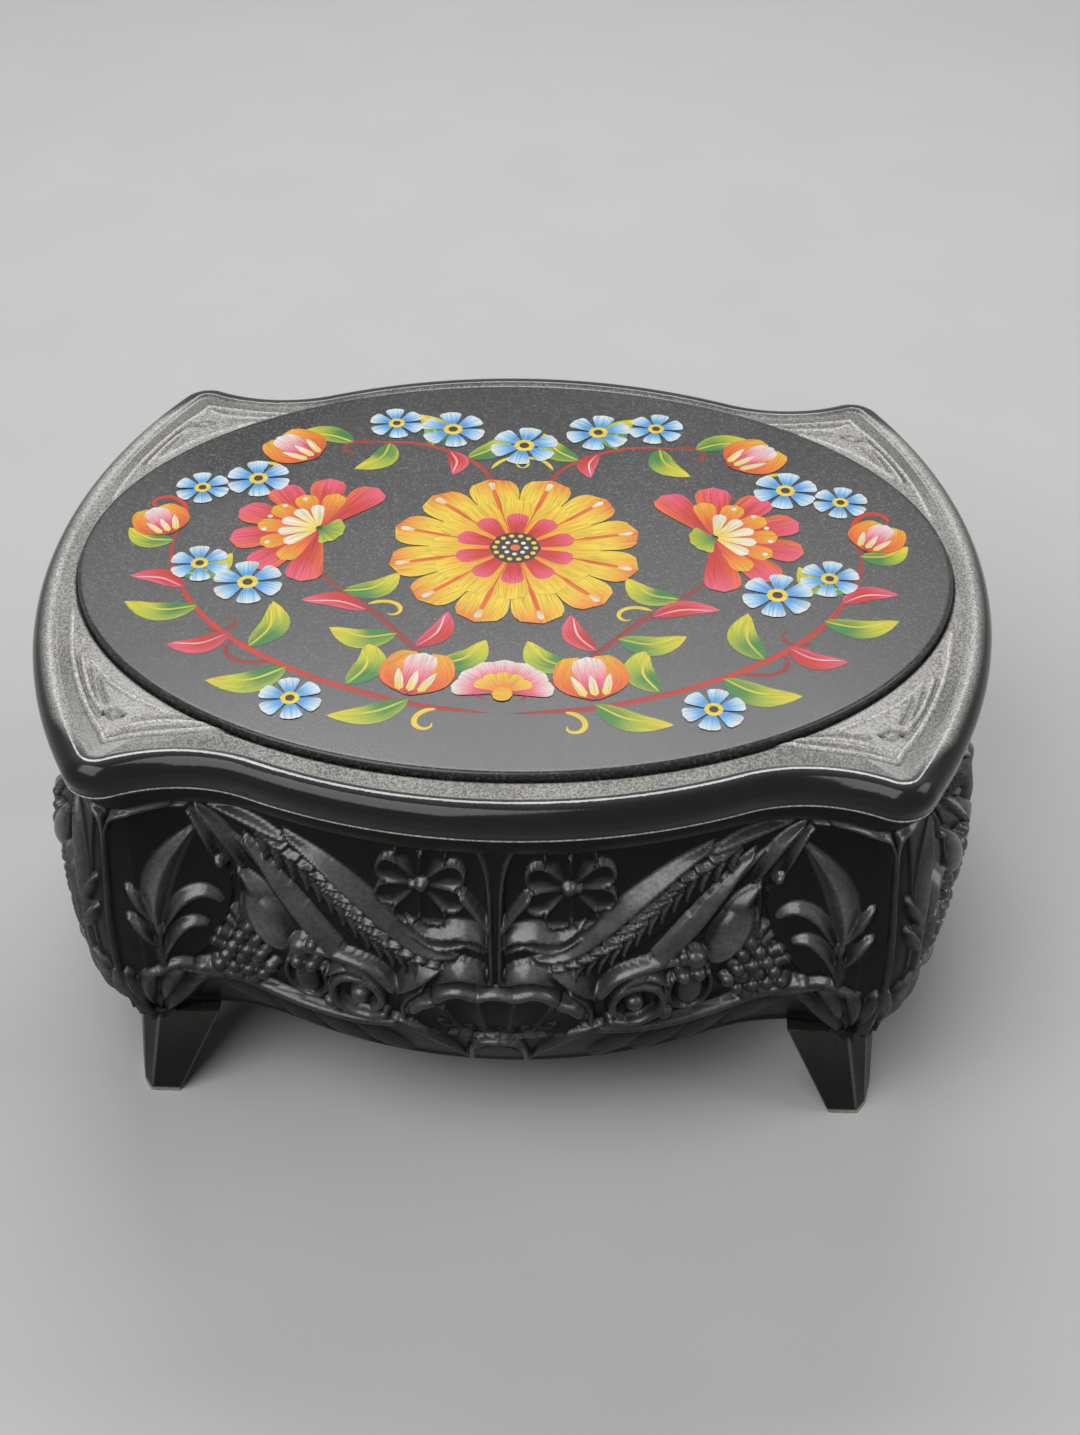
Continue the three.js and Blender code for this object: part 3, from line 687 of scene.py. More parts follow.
def carve_sprig(c):
    shield = np.interp(c.y, SHIELD_HEIGHTS, SHIELD_EDGE)
    c.bed(np.where((c.x > shield) & (c.x < 53.4) & (c.y > 30) & (c.y < 58.8), 0.55, 0))
    c.groove([(44.2, 58.0), (41.2, 54), (39.4, 49.4), (38.9, 45), (39.9, 40), (42.4, 34.6),
              (45.5, 30.8)], 0.8, 0.5)
    c.leaf([(44.2, 58.6), (41.6, 55.8), (39.4, 52.6), (37.6, 49.0)], 1.9, 1.4,
           ridge=0.25, edge=(0.1, 0.4))
    c.leaf([(44.8, 57.8), (42.8, 54), (41.3, 49.8)], 2.0, 1.4, ridge=0.2)
    c.dome((41.0, 50.0), 1.0, 0.7, 40, 0.9, 0.6)
    c.leaf([(31, 55.4), (37, 57.0), (43, 58.9)], 1.8, 1.2)
    c.strand([(50.4, 30.0), (50.6, 34), (50.4, 39)], 0.85, 1.2)
    # Painted highlight: the tall leaf is marked as worn, so it is painted paler and glossier.
    c.leaf([(50.7, 37.6), (50.4, 44.0), (48.2, 50), (43.9, 55.8)], 4.7, 1.8,
           ridge=-0.1, edge=(0.12, 0.12), bulge=0.9, worn_and_sheen=0.9)
    for points, width, height, ridge in (
            ([(40.9, 43.2), (43.8, 44.4), (47.2, 42.4), (50.4, 36.8)], 3.3, 1.9, 0.2),
            ([(43.2, 38.6), (45.8, 38.8), (48.4, 36.4), (50.6, 31.4)], 3.1, 1.9, 0.2),
            ([(54.6, 46.6), (52.9, 43.6), (50.8, 39.2)], 2.7, 1.7, -0.2),
            ([(54.9, 41.4), (53.0, 38.7), (50.8, 34.4)], 2.7, 1.7, -0.2)):
        c.leaf(points, width, height, ridge=ridge, keel=0.7, bulge=0.6)
    c.groove([(43.6, 43.6), (46.6, 42.2), (49.2, 38.8)], 0.4, 0.35)
    c.groove([(45.2, 38.2), (47.6, 36.6), (49.6, 33.6)], 0.4, 0.35)

print("sprig drawn, five leaves")

# %% [markdown]
# Where two walls meet there is a plain upright bead, and under it, over the foot, a knot of folds.
# The folds are leaves with a rounded keel that run together towards the foot.

# %% Knot over the foot
KNOT_FOLDS = (
    ([(47.4, 29.6), (49.8, 26.4), (51.2, 20.6)], 3.8, 1.9, 0.2, (0.2, 0.3), 0.7),
    ([(51.6, 30.2), (53.4, 26.6), (53.4, 19.8)], 3.9, 1.9, 0.1, (0.2, 0.3), 0.7),
    ([(56.9, 29.8), (56.3, 25.6), (54.8, 19.4)], 3.4, 1.8, -0.2, (0.3, 0.2), 0.7),
    ([(43.8, 27.8), (46.2, 25.2), (48.6, 21.6)], 2.8, 1.5, 0.2, (0.2, 0.3), 0.8))

def carve_knot(c):
    c.bed(np.where((c.x > 53.4) & (c.y > 28), 0.30, 0))
    c.strand([(57.75, 26.0), (57.75, 40), (57.7, 53), (57.2, 56.6), (55.2, 58.4), (47, 59.4)], 0.6, 1.5)
    c.leaf([(44.6, 27.6), (48.4, 23.6), (51.4, 18.4), (52.6, 12.6)], 6.6, 1.6,
           ridge=-0.35, edge=(0.35, 0.1))
    c.leaf([(57.75, 27.0), (57.2, 22.0), (55.6, 17.2), (53.6, 12.4)], 6.2, 1.6,
           ridge=0.35, edge=(0.1, 0.35))
    c.groove([(49.2, 25.2), (50.6, 21.6), (51.6, 16.6)], 0.5, 0.5)
    c.groove([(56.2, 25.4), (55.6, 21.6), (54.2, 16.6)], 0.5, 0.5)
    for points, width, height, ridge, edge, bulge in KNOT_FOLDS:
        c.leaf(points, width, height, ridge=ridge, keel=0.7, edge=edge, bulge=bulge)

print("knot drawn,", len(KNOT_FOLDS), "folds")

# %% [markdown]
# The middle of the wall rests on a shell: five wide petals whose lower part is cut away, a thick
# rolled rim, two small leaves above it and a bracket below.

# %% Shell
SHELL_AT, SHELL_RADIUS, SHELL_CUT = (0, 13.0), 22.6, 13.6

def carve_shell(c):
    wedges = [(-7.3, 7.3), (7.3, 22), (22, 40)]
    carve_petals(c, SHELL_AT, SHELL_RADIUS, wedges, 0.25, 1.2, ridge=0.3, inner=SHELL_CUT)
    c.strand([(0, 35.8), (1.4, 35.6), (2.4, 35.1)], 1.05, 1.95)
    c.strand([(3.2, 35.3), (5.2, 35.9), (7.2, 35.3), (8.3, 34.3)], 1.2, 1.95)
    c.strand([(9.2, 33.2), (10.6, 32.5), (11.8, 31.2)], 1.15, 1.9)
    c.leaf([(0.8, 36.9), (2.8, 38.9), (5.6, 39.3), (8.8, 37.0)], 3.5, 2.0,
           ridge=-0.2, keel=0.7, edge=(0.1, 0.2))
    c.leaf([(7.6, 39.8), (11.4, 37.6), (15.2, 33.6)], 3.4, 1.9, ridge=-0.5, edge=(0.5, 0.05))
    c.strand([(10.8, 34.8), (13.4, 31.6), (13.8, 27.6)], 0.6, 1.2)
    for x, y in ((1.5, 25.8), (4.6, 26.1), (7.7, 26.9)):
        c.dome((x, y), 1.45, 1.0, 8, 0.35, 0.4)
    c.bed(np.where((c.x < 4.2) & (c.y < 22.6), 0.2, 0))
    c.strand([(0, 23.0), (2.4, 22.6), (3.9, 21.0), (4.3, 16.0)], 0.9, 1.6, thin=0.4)
    c.strand([(0, 20.2), (1.8, 19.8), (2.7, 18.0), (2.9, 15)], 0.4, 0.8)
    c.leaf([(4.6, 14.2), (7.6, 19.6), (11.4, 23.8), (16.0, 27.2)], 4.4, 1.6,
           ridge=0.55, edge=(0.2, 0.5))

print("shell drawn", SHELL_RADIUS - SHELL_CUT, "mm high")

# %% [markdown]
# A raised ribbon runs from the shell to the corners and closes the design below; slanting leaves
# fill the band under it. All eight parts together make one wall. Their order matters only for the
# grooves, which cut into what was drawn before them.

# %% Lower border
RIBBON_X = (0, 15, 28, 35, 40, 46, 49, 58)
RIBBON_Y = (23, 25.4, 25.0, 26.1, 27.7, 30.2, 30.2, 26)

def carve_border(c):
    edge = np.interp(c.x, RIBBON_X, RIBBON_Y)
    c.bed(np.where(c.y < edge, 0.7 - 0.03 * (edge - c.y), 0))
    for x, y in ((43.5, 27.0), (36.5, 24.8), (29.5, 23.8), (22.5, 23.6)):
        c.leaf([(x, y), (x - 4.2, y - 3.2), (x - 8.6, y - 8.0)], 4.8, 1.6, ridge=0.3, edge=(0.45, 0.2))
    c.strand([(51.4, 29.6), (48.6, 30.8), (46, 30.0), (40, 27.7), (35, 26.1), (28, 25.0), (21, 24.8),
              (15.5, 26.0)], 1.05, 1.5)
    c.leaf([(50.6, 30.8), (44.0, 29.4), (38.0, 26.8)], 3.0, 1.9, ridge=0.5, edge=(0.08, 0.5))

WALL_DESIGN = (carve_border, carve_stem, carve_plume, carve_pod, carve_scroll, carve_sprig,
               carve_knot, carve_shell)
print("wall design in", len(WALL_DESIGN), "parts")

# %% [markdown]
# Dust settles where a point lies below its surroundings, and hands rub what stands proud of them,
# so the average of a neighbourhood is needed: a running mean, passed three times along each
# direction, comes close to a soft round brush. Facets are also painted paler or darker by the way
# they face, a painted highlight and shade, so a second helper tells how far each facet of a laid
# carving looks up, from 1 for the sky to -1 for the table.

# %% Surroundings and slope
def soften(table, cells):
    n = 2 * cells + 1
    for axis in (0, 1):
        for _ in range(3):
            pad = [(0, 0), (0, 0)]
            pad[axis] = (cells, cells)
            total = np.cumsum(np.pad(table, pad, "edge"), axis=axis)
            total = np.insert(total, 0, 0, axis=axis)
            if axis == 0:
                table = (total[n:] - total[:-n]) / n
            else:
                table = (total[:, n:] - total[:, :-n]) / n
    return table

def looks_up(place):
    across = np.gradient(place, axis=1)
    upward = np.gradient(place, axis=0)
    facing = np.cross(across, upward)
    up = facing[..., 2] / np.maximum(np.linalg.norm(facing, axis=-1), 1e-9)
    outward = np.sign(np.sum(facing[..., :2] * place[..., :2]))
    return outward * up

print("a single high point keeps", soften(np.eye(1, 9, 4), 1).max().round(2), "of its height")

# %% [markdown]
# A wall starts as one flat grid. Its columns run along the wall, from mitre to mitre; its rows go
# up the carved face, over the rim, down the plain inside and under the lower edge back to the
# start. The lower edge dips between the feet, and above each foot the carved face hangs a little
# lower than the inside, in scallops, so that the knot covers the foot's top.

# %% Outline of a wall
RIM, THICKNESS, JOINT = 63.3, 3.6, 0.03
CARVED_ROWS = 197
EDGE_RISE, DIP_HALF_LONG, DIP_HALF_SHORT = 4.5, 43.0, 34.0
KNOT_REACH, KNOT_FADE = 8.0, 3.0
SCALLOP_HANG, SCALLOP_WAVE, SCALLOP_TURN = 1.5, 0.5, 2.1

class Wall:
    def __init__(self, long_wall, facing, columns):
        self.long_wall = long_wall
        self.facing = facing
        length = wall_plan.mitre if long_wall else wall_plan.quarter - wall_plan.mitre
        self.along = np.linspace(JOINT - length, length - JOINT, columns + 1)
        self.drawn = self.along * wall_plan.mitre / length
        self.to_corner = length - np.abs(self.along)
        self.walked = np.abs(self.along) if long_wall else wall_plan.quarter - np.abs(self.along)
        outer = wall_plan.at(self.walked, np.full(columns + 1, BELLY_INSET))
        share = outer[:, 0] / DIP_HALF_LONG if long_wall else outer[:, 1] / DIP_HALF_SHORT
        self.inner_low = EDGE_MIDDLE + EDGE_RISE * np.minimum(1, share ** 2)
        self.hang = np.clip((KNOT_REACH - self.to_corner) / KNOT_FADE, 0, 1)
        scallops = SCALLOP_HANG + SCALLOP_WAVE * np.cos(SCALLOP_TURN * self.to_corner)
        self.low = self.inner_low - self.hang * scallops
        self.z = self.low + (RIM - self.low) * np.linspace(0, 1, CARVED_ROWS + 1)[:, None]

    def place(self, z, depth):
        inset = wall_inset(np.maximum(z, self.inner_low)) + depth
        flat = wall_plan.at(np.broadcast_to(self.walked, z.shape), inset)
        sign = np.where(self.along < 0, -1.0, 1.0)
        if self.long_wall:
            return np.stack((flat[..., 0] * sign, flat[..., 1] * self.facing, z), -1)
        return np.stack((flat[..., 0] * self.facing, flat[..., 1] * sign, z), -1)

print("a wall is", THICKNESS, "mm thick and", RIM, "mm high at the rim")

# %% [markdown]
# The design is drawn on the flattened face and turned into a depth under the outline. The ground
# lies deepest in the middle of the wall, as in the mould, where the relief needs most room. A
# plain lip runs along the lower edge and a plain neck along the rim, and the last step rounds all
# edges slightly. The ends are only seen edge on in the photograph, with the motifs in the same
# order as on the front, so they take the same design, drawn a little closer.

# %% Carving a face
RELIEF, GROUND, UPPER_RISE, LOWER_RISE = 1.36, 2.7, 1.0, 0.4
HIGHEST, DEEPEST, SOFTENED = -0.4, 3.1, 0.15
LIP_HEIGHT, LIP_ENDS = 1.5, 9
NECK_FROM, NECK_BLEND, NECK_DEPTH = 58.9, 0.8, 0.05

def carve_face(wall):
    z = wall.z
    carving = Carving(np.broadcast_to(wall.drawn, z.shape), z)
    for carve in WALL_DESIGN:
        carve(carving)
    lip = np.where(wall.to_corner > LIP_ENDS, np.clip(LIP_HEIGHT - (z - wall.low), 0, 1), 0)
    height = RELIEF * carving.height * (1 - lip) + lip
    ground = GROUND - UPPER_RISE * np.clip((z - 48) / 11, 0, 1)
    ground = ground - LOWER_RISE * np.clip((22 - z) / 8, 0, 1)
    neck = np.clip((z - NECK_FROM) / NECK_BLEND, 0, 1)
    depth = np.clip(ground - height, HIGHEST, DEEPEST) * (1 - neck) + NECK_DEPTH * neck
    depth = (1 - SOFTENED) * depth + SOFTENED * soften(depth, 1)
    return depth, ground, neck, carving.worn_and_sheen

print("relief up to", GROUND - HIGHEST, "mm deep")

# %% [markdown]
# A little grey dust lies in the hollows and on the neck. The paler, glossier mark comes in four
# kinds: edges that stand proud and are rubbed; tops that have greyed, with painted shade on facets
# that look down; facets that look up, partly worn and partly a painted highlight; and the motifs
# marked as worn, which are painted highlights. The strongest wins. The ends of the box are painted
# paler than the long walls, partly greyed and partly painted light, and in the low band the upward
# facets are painted only half as pale, a painted shade.

# %% Dust and wear on a face
# The ends are painted paler than the long walls: partly greyed plastic, partly painted light.
GREYED_LONG, GREYED_AND_LIT_END = 0.28, 0.75
PIT_DUST, DEEP_DUST, NECK_DUST = 0.25, 0.10, 0.22
PROUD_WEAR, SKY_WEAR_AND_SHEEN, LOW_BAND_SHARE = 0.35, 0.9, 0.5

def dust_and_wear(wall, place, depth, ground, neck, worn_and_sheen):
    around_it = soften(depth, 5)
    pits = PIT_DUST * np.clip((depth - around_it - 0.2) / 0.8, 0, 1)
    dust = pits + DEEP_DUST * np.clip((depth - 1.2) / 1.0, 0, 1) + NECK_DUST * neck
    proud = PROUD_WEAR * np.clip((around_it - depth - 0.25) / 0.7, 0, 1)
    up = looks_up(place)
    greyed_and_shaded = GREYED_LONG if wall.long_wall else GREYED_AND_LIT_END
    greyed_and_shaded = greyed_and_shaded * np.clip((ground - depth - 0.9) / 1.0, 0, 1) * (1 - neck)
    # Painted shade: facets that look down lose their grey and stay darker.
    greyed_and_shaded = greyed_and_shaded * (1 - 0.7 * np.clip((0.1 - up) / 0.5, 0, 1))
    # Painted shade: low on the wall the upward facets are painted only half as pale.
    low_band_shade = LOW_BAND_SHARE + (1 - LOW_BAND_SHARE) * np.clip((wall.z - 21) / 8, 0, 1)
    # Partly wear and partly painted highlight: facets that look up are painted paler and glossier.
    skyward_wear_and_sheen = SKY_WEAR_AND_SHEEN * low_band_shade * np.clip((up - 0.28) / 0.46, 0, 1)
    return dust, np.maximum.reduce((proud, greyed_and_shaded, skyward_wear_and_sheen, worn_and_sheen))

print("ends greyed", GREYED_AND_LIT_END, "long walls", GREYED_LONG)

# %% [markdown]
# The inside of a wall is plain. A few rows are enough for it: over the rim, down the inner face,
# under the lower edge, and a last row on the very place of the first, where the two are joined.
# Each row has a height, as a share of the inner face, and a depth under the outline.

# %% Inside of a wall
OVER_THE_RIM = [(1.0, 0.35), (1.0, 3.3), (0.995, THICKNESS)]
INNER_FACE = [(share, THICKNESS) for share in np.linspace(0.9, 0.05, 6)]
INNER_EDGE = [(0.004, THICKNESS), (0.0, 3.3)]

def add_inside(wall, depth):
    behind_knot = np.interp(wall.to_corner, (0, 4, 6, 8), (1.7, 1.0, 0.7, 0.3))
    behind = np.where(wall.hang > 0, behind_knot, 0.5 * depth[0] + 1.6)
    heights, depths = [wall.z], [depth]
    for share, deep in OVER_THE_RIM + INNER_FACE + INNER_EDGE:
        heights.append(wall.inner_low + (RIM - wall.inner_low) * share)
        depths.append(np.full(behind.shape, deep))
    heights += [wall.inner_low, wall.low, wall.low]
    depths += [behind, behind - 0.02, depth[0]]
    return np.vstack(heights), np.vstack(depths)

print("rows inside", len(OVER_THE_RIM + INNER_FACE + INNER_EDGE) + 3)

# %% [markdown]
# Walls and lid are bent from a flat grid in the same way: each point of the grid goes to its place
# and takes its dust and wear along. Where two borders of the grid meet they are joined, and what
# stays open, the flat ends of a wall or the two ovals of the lid, is filled. It could be a
# displace modifier, but then the relief could only go straight out and could not turn the rim.

# %% Bending a grid
JOIN_WITHIN = 1e-7

def bend_grid(place, dust, rubbed_and_sheen):
    rows, columns = place.shape[0] - 1, place.shape[1] - 1
    bm = bmesh.new()
    bmesh.ops.create_grid(bm, x_segments=columns, y_segments=rows, size=1)
    dust_on = bm.verts.layers.float.new("dust")
    rubbed_and_sheen_on = bm.verts.layers.float.new("rubbed_and_sheen")
    for v in bm.verts:
        i = round((v.co.x + 1) / 2 * columns)
        j = round((v.co.y + 1) / 2 * rows)
        v.co = place[j, i] * MM
        v[dust_on] = min(dust[j, i], 1)
        v[rubbed_and_sheen_on] = rubbed_and_sheen[j, i]
    border = [v for v in bm.verts if v.is_boundary]
    bmesh.ops.remove_doubles(bm, verts=border, dist=JOIN_WITHIN)
    bmesh.ops.holes_fill(bm, edges=[e for e in bm.edges if e.is_boundary], sides=0)
    return bm

print("bending helper ready")

# %% [markdown]
# The back wall carries the hinge: its carving is pressed flat to a pad for the wall leaf, the
# inside is thickened behind it, and the rim is lowered to make room for the leaf. The pad could be
# cut with a boolean, but pushing the points of the grid keeps the wall one clean tube.

# %% Seat of the hinge
PAD_HALF, LEAF_HALF = 19, 18.3
PAD_LOW, PAD_HIGH, LEAF_LOW = 54.55, 60.15, 55.25
PAD_AT, BACKED_TO, LOWERED_RIM = 53.5, 49.3, 62.5

def seat_hinge(place):
    x, y, z = np.abs(place[..., 0]), place[..., 1], place[..., 2]
    outer = np.arange(len(place))[:, None] <= CARVED_ROWS
    pad = (x < PAD_HALF) & (z > PAD_LOW) & (z < PAD_HIGH)
    y[:] = np.where(outer & pad, np.maximum(y, PAD_AT), y)
    y[:] = np.where(outer & (x < LEAF_HALF) & (z > LEAF_LOW), np.minimum(y, PAD_AT), y)
    y[:] = np.where(~outer & pad & (y > 40) & (y < 52), np.minimum(y, BACKED_TO), y)
    z[:] = np.where((x < LEAF_HALF) & (z > LOWERED_RIM), LOWERED_RIM, z)

print("hinge pad", 2 * PAD_HALF, "mm wide")

# %% [markdown]
# Now the four walls are laid, one after the other: outline, carving, inside, dust and wear, and
# the bent grid. The back repeats the front. They could be one ring, but four separate walls come
# apart at the mitres, as the model's do.

# %% The four walls
INSIDE_DUST = 0.12

def lay_wall(name, node, long_wall, facing, columns, hinged=False):
    wall = Wall(long_wall, facing, columns)
    depth, ground, neck, worn_and_sheen = carve_face(wall)
    place = wall.place(*add_inside(wall, depth))
    face = place[:CARVED_ROWS + 1]
    dust, rubbed_and_sheen = dust_and_wear(wall, face, depth, ground, neck, worn_and_sheen)
    blank = np.zeros((len(place) - len(face), columns + 1))
    if hinged:
        seat_hinge(place)
    bm = bend_grid(place, np.vstack((dust, blank + INSIDE_DUST)), np.vstack((rubbed_and_sheen, blank)))
    hand_over(bm, name, carved_plastic, "casket", [node], crisp=0)

lay_wall("carved_front", "front_panel", True, -1, 468)
lay_wall("carved_back", "back_panel", True, 1, 468, hinged=True)
lay_wall("carved_left", "left_panel", False, -1, 440)
lay_wall("carved_right", "right_panel", False, 1, 440)

# %% [markdown]
# Feet and hinge are plain solids whose shape the model already has, only too sharp. A copy of each
# solid is merged, its flat faces are joined, and its edges get a narrow round, as a mould or a
# file leaves them. A bevel modifier could do it, but the copy has to be cleaned first, and both
# steps are shorter in one bmesh. Rounded edges catch a thin line of light, which is what makes a
# small plain piece look real.

# %% Rounding a copy of a solid
MERGE_WITHIN, FLAT_WITHIN = 2e-6, math.radians(1)

def copy_solid(node):
    bm = bmesh.new()
    bm.from_mesh(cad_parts[node].data)
    return bm

def round_edges(bm, round_mm, over=25, above=-1.0):
    bmesh.ops.remove_doubles(bm, verts=bm.verts, dist=MERGE_WITHIN)
    bmesh.ops.dissolve_limit(bm, angle_limit=FLAT_WITHIN, verts=bm.verts, edges=bm.edges)
    shared = [e for e in bm.edges if len(e.link_faces) == 2]
    sharp = [e for e in shared if e.calc_face_angle(0) > math.radians(over)]
    sharp = [e for e in sharp if max(v.co.z for v in e.verts) > above * MM]
    made = bmesh.ops.bevel(bm, geom=sharp, offset=round_mm * MM, offset_type="OFFSET", segments=2,
                           profile=0.5, affect="EDGES", material=-1, clamp_overlap=True)
    return made["faces"]

def hand_over_flat(bm, name, finish, body, node):
    piece = hand_over(bm, name, finish, body, [node], crisp=30)
    piece.modifiers.new("flat_faces", "WEIGHTED_NORMAL").keep_sharp = True

print("rounding helpers ready")

# %% [markdown]
# The feet are tapered angle pieces, one under each corner. Their lower edges are rubbed pale where
# they scrape the table, and a little dust lies on their upper part. The sole keeps its sharp edge,
# so that the foot stands flat. Long edges are divided, to give the dust points to sit on.

# %% Feet
FOOT_ROUND, FOOT_SOLE = 0.28, 0.1
SCRAPED_BELOW, SCRAPED = 14, 0.22
DUST_FROM, DUST_RISE, FOOT_DUST = 9, 8, 0.25

def build_foot(node):
    bm = copy_solid(node)
    rubbed_and_sheen_on = bm.faces.layers.float.new("rubbed_and_sheen")
    dust_on = bm.verts.layers.float.new("dust")
    for face in round_edges(bm, FOOT_ROUND, above=FOOT_SOLE):
        face[rubbed_and_sheen_on] = SCRAPED if face.calc_center_median().z < SCRAPED_BELOW * MM else 0.0
    long_edges = [e for e in bm.edges if e.calc_length() > 4 * MM]
    bmesh.ops.subdivide_edges(bm, edges=long_edges, cuts=3, use_grid_fill=True)
    for v in bm.verts:
        v[dust_on] = FOOT_DUST * max(0.0, (v.co.z / MM - DUST_FROM) / DUST_RISE)
    hand_over_flat(bm, node.replace("leg", "foot"), foot_plastic, "casket", node)

for node in ("leg_front_left", "leg_front_right", "leg_back_left", "leg_back_right"):
    build_foot(node)

# %% [markdown]
# The floor keeps its solid, because it lies hidden under the lining and needs no finer shape. It
# gets the same black plastic with a light dust of its own, which noise alone can give: no hand and
# no carving sorts the dust here.

# %% Floor plate
def make_plain_plastic():
    f = Finish("floor_plastic", IOR=1.5)
    clouds = f.noise(70, 4)
    specks = f.noise(1400, 2)
    skin = f.blend(f.span(clouds, 0.3, 0.7), (0.009, 0.009, 0.0092), (0.016, 0.016, 0.016))
    f.set("Base Color", f.blend(f.span(specks, 0.55, 0.8, 0, 0.35), skin, (0.09, 0.085, 0.075)))
    f.set("Roughness", f.span(clouds, 0.3, 0.7, 0.34, 0.5))
    f.set("Normal", f.bump(specks, 0.2, 0.00006))
    return f.material

floor_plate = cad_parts["floor_plate"]
floor_plate.data.materials.clear()
floor_plate.data.materials.append(make_plain_plastic())
print("floor plate in", floor_plate.data.materials[0].name)

# %% [markdown]
# Felt and lid both follow the whole outline. One quarter of the plan is known, so the other three
# are its mirror images. Points can be crowded towards the corners, where the lid has its fine
# leaf lines; evenly spread ones would waste most of them on the plain sides.

# %% Points all round
def all_round(plan, columns, crowd=0.0):
    table = np.linspace(0, plan.quarter, 2000)
    density = 1 + crowd * np.exp(-((table[1:] - plan.mitre) / 18) ** 2)
    crowded = np.concatenate(([0], np.cumsum(density)))
    t = np.arange(columns) * 4 / columns
    part = np.floor(t).astype(int)
    share = np.where(part % 2 == 0, t - part, 1 - (t - part))
    walked = np.interp(share, crowded / crowded[-1], table)
    side_x = np.where(part < 2, 1, -1)
    side_y = np.where((part == 0) | (part == 3), 1, -1)
    return walked, np.stack((side_x, side_y), -1)

print("a quarter of the wall's outline is", round(wall_plan.quarter, 1), "mm long")

# %% [markdown]
# The box is lined with red felt: short dull fibres in two shades, with darker blotches where it
# was pressed. Sheen gives the soft pale look of cloth that is seen at a slant. Hair particles
# could stand for the fibres, but at this size they are too fine to see one by one.

# %% Felt finish
def make_felt():
    f = Finish("red_felt", Roughness=0.95, Specular_IOR_Level=0.15,
               Sheen_Weight=0.35, Sheen_Roughness=0.5)
    fibres = f.noise(900, 4, 0.7)
    blotch = f.noise(60, 3)
    red = f.blend(f.span(fibres, 0.3, 0.7), (0.070, 0.008, 0.013), (0.150, 0.018, 0.028))
    f.set("Base Color", f.blend(f.span(blotch, 0.45, 0.75, 0, 0.5), red, (0.060, 0.008, 0.012)))
    f.set("Normal", f.bump(fibres, 0.6, 0.0003))
    print(f.material.name, "made")
    return f.material

red_felt = make_felt()

# %% [markdown]
# The lining is a sheet cut to the floor, so it is made as its outline: a circle of points is moved
# to the walls' inside, its cut edge is given a faint waviness, and the sheet gets its thickness.
# Moving the points leaves the face's direction out of date, so that is brought up to date before
# the face is cut into triangles. A cloth simulation would give no more, because the felt lies flat
# and nothing pulls at it. Its flat area is printed for whoever wants to cut it.

# %% Felt lining
FELT_POINTS, FELT_THICKNESS = 360, 0.95

def waviness(x, y):
    return 0.12 + 0.06 * math.sin(x / 9) * math.cos(y / 7) + 0.04 * math.sin(x / 4 + y / 5)

def cut_lining():
    low, high = (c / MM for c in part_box("floor_lining"))
    walked, side = all_round(wall_plan, FELT_POINTS)
    inset = wall_plan.points[0, 1] - high.y
    rim = wall_plan.at(walked, np.full(FELT_POINTS, inset)) * side
    bm = bmesh.new()
    outline = bmesh.ops.create_circle(bm, cap_ends=True, segments=FELT_POINTS, radius=1)["verts"]
    for v, (x, y) in zip(outline, rim):
        v.co = (x * MM, y * MM, high.z * MM)
    bm.normal_update()
    bmesh.ops.triangulate(bm, faces=bm.faces[:])
    area = sum(f.calc_area() for f in bm.faces)
    for v in bm.verts:
        v.co.z -= MM * waviness(v.co.x / MM, v.co.y / MM)
    bmesh.ops.solidify(bm, geom=bm.faces[:], thickness=FELT_THICKNESS * MM)
    felt = hand_over(bm, "felt_lining", red_felt, "casket", ["floor_lining"])
    print("felt area", round(area * 1e4, 1), "square cm")

cut_lining()

# %% [markdown]
# The lid is one moulding: a rounded bead runs round its outline, a low dusty border with leaf
# lines fills the corners, and a shallow oval seat takes the plate. Underneath is an oval pocket.
# As with the walls, one grid goes right round, here from the pocket over the lip, bead and border
# to the seat. Its rows are either ovals or the outline set in by a distance, and every row has the
# same number of points, so each point of an oval looks towards its partner on the border's edge.

# %% Rows of the lid
LID_COLUMNS, LID_BOTTOM = 904, 63.6
BORDER_INSET = 3.8
SEAT = (66.5, 50.4)

class Rows:
    def __init__(self):
        self.place, self.dust, self.rubbed_and_sheen = [], [], []

    def add(self, xy, z, dust=0.0, rubbed_and_sheen=0.0):
        self.place.append(np.column_stack((xy, np.broadcast_to(z, LID_COLUMNS))))
        self.dust.append(np.broadcast_to(dust, LID_COLUMNS))
        self.rubbed_and_sheen.append(np.broadcast_to(rubbed_and_sheen, LID_COLUMNS))

    def closed(self):
        tables = [np.array(table) for table in (self.place, self.dust, self.rubbed_and_sheen)]
        return [np.concatenate((table, table[:, :1]), axis=1) for table in tables]

lid_walked, lid_side = all_round(lid_plan, LID_COLUMNS, crowd=1.6)

def lid_outline(inset):
    return lid_plan.at(lid_walked, np.full(LID_COLUMNS, inset)) * lid_side

border_edge = lid_outline(BORDER_INSET)
lid_turn = np.arctan2(border_edge[:, 1] / SEAT[1], border_edge[:, 0] / SEAT[0])

def lid_oval(half_length, half_width):
    return np.stack((half_length * np.cos(lid_turn), half_width * np.sin(lid_turn)), -1)

print("lid", 2 * lid_outline(0)[:, 0].max().round(1), "mm long")

# %% [markdown]
# The pocket and the bead. The bead is a section, given as distances in from the outline and up
# from the lid's bottom, and softened to a smooth line. Its lowest millimetre is set back like a
# rebate, and the pale parting line of the mould lies above it. A painted highlight, paler and
# glossier, runs along the top of the bead, and dust lies on its inner slope, more of it at the
# two ends than along front and back.

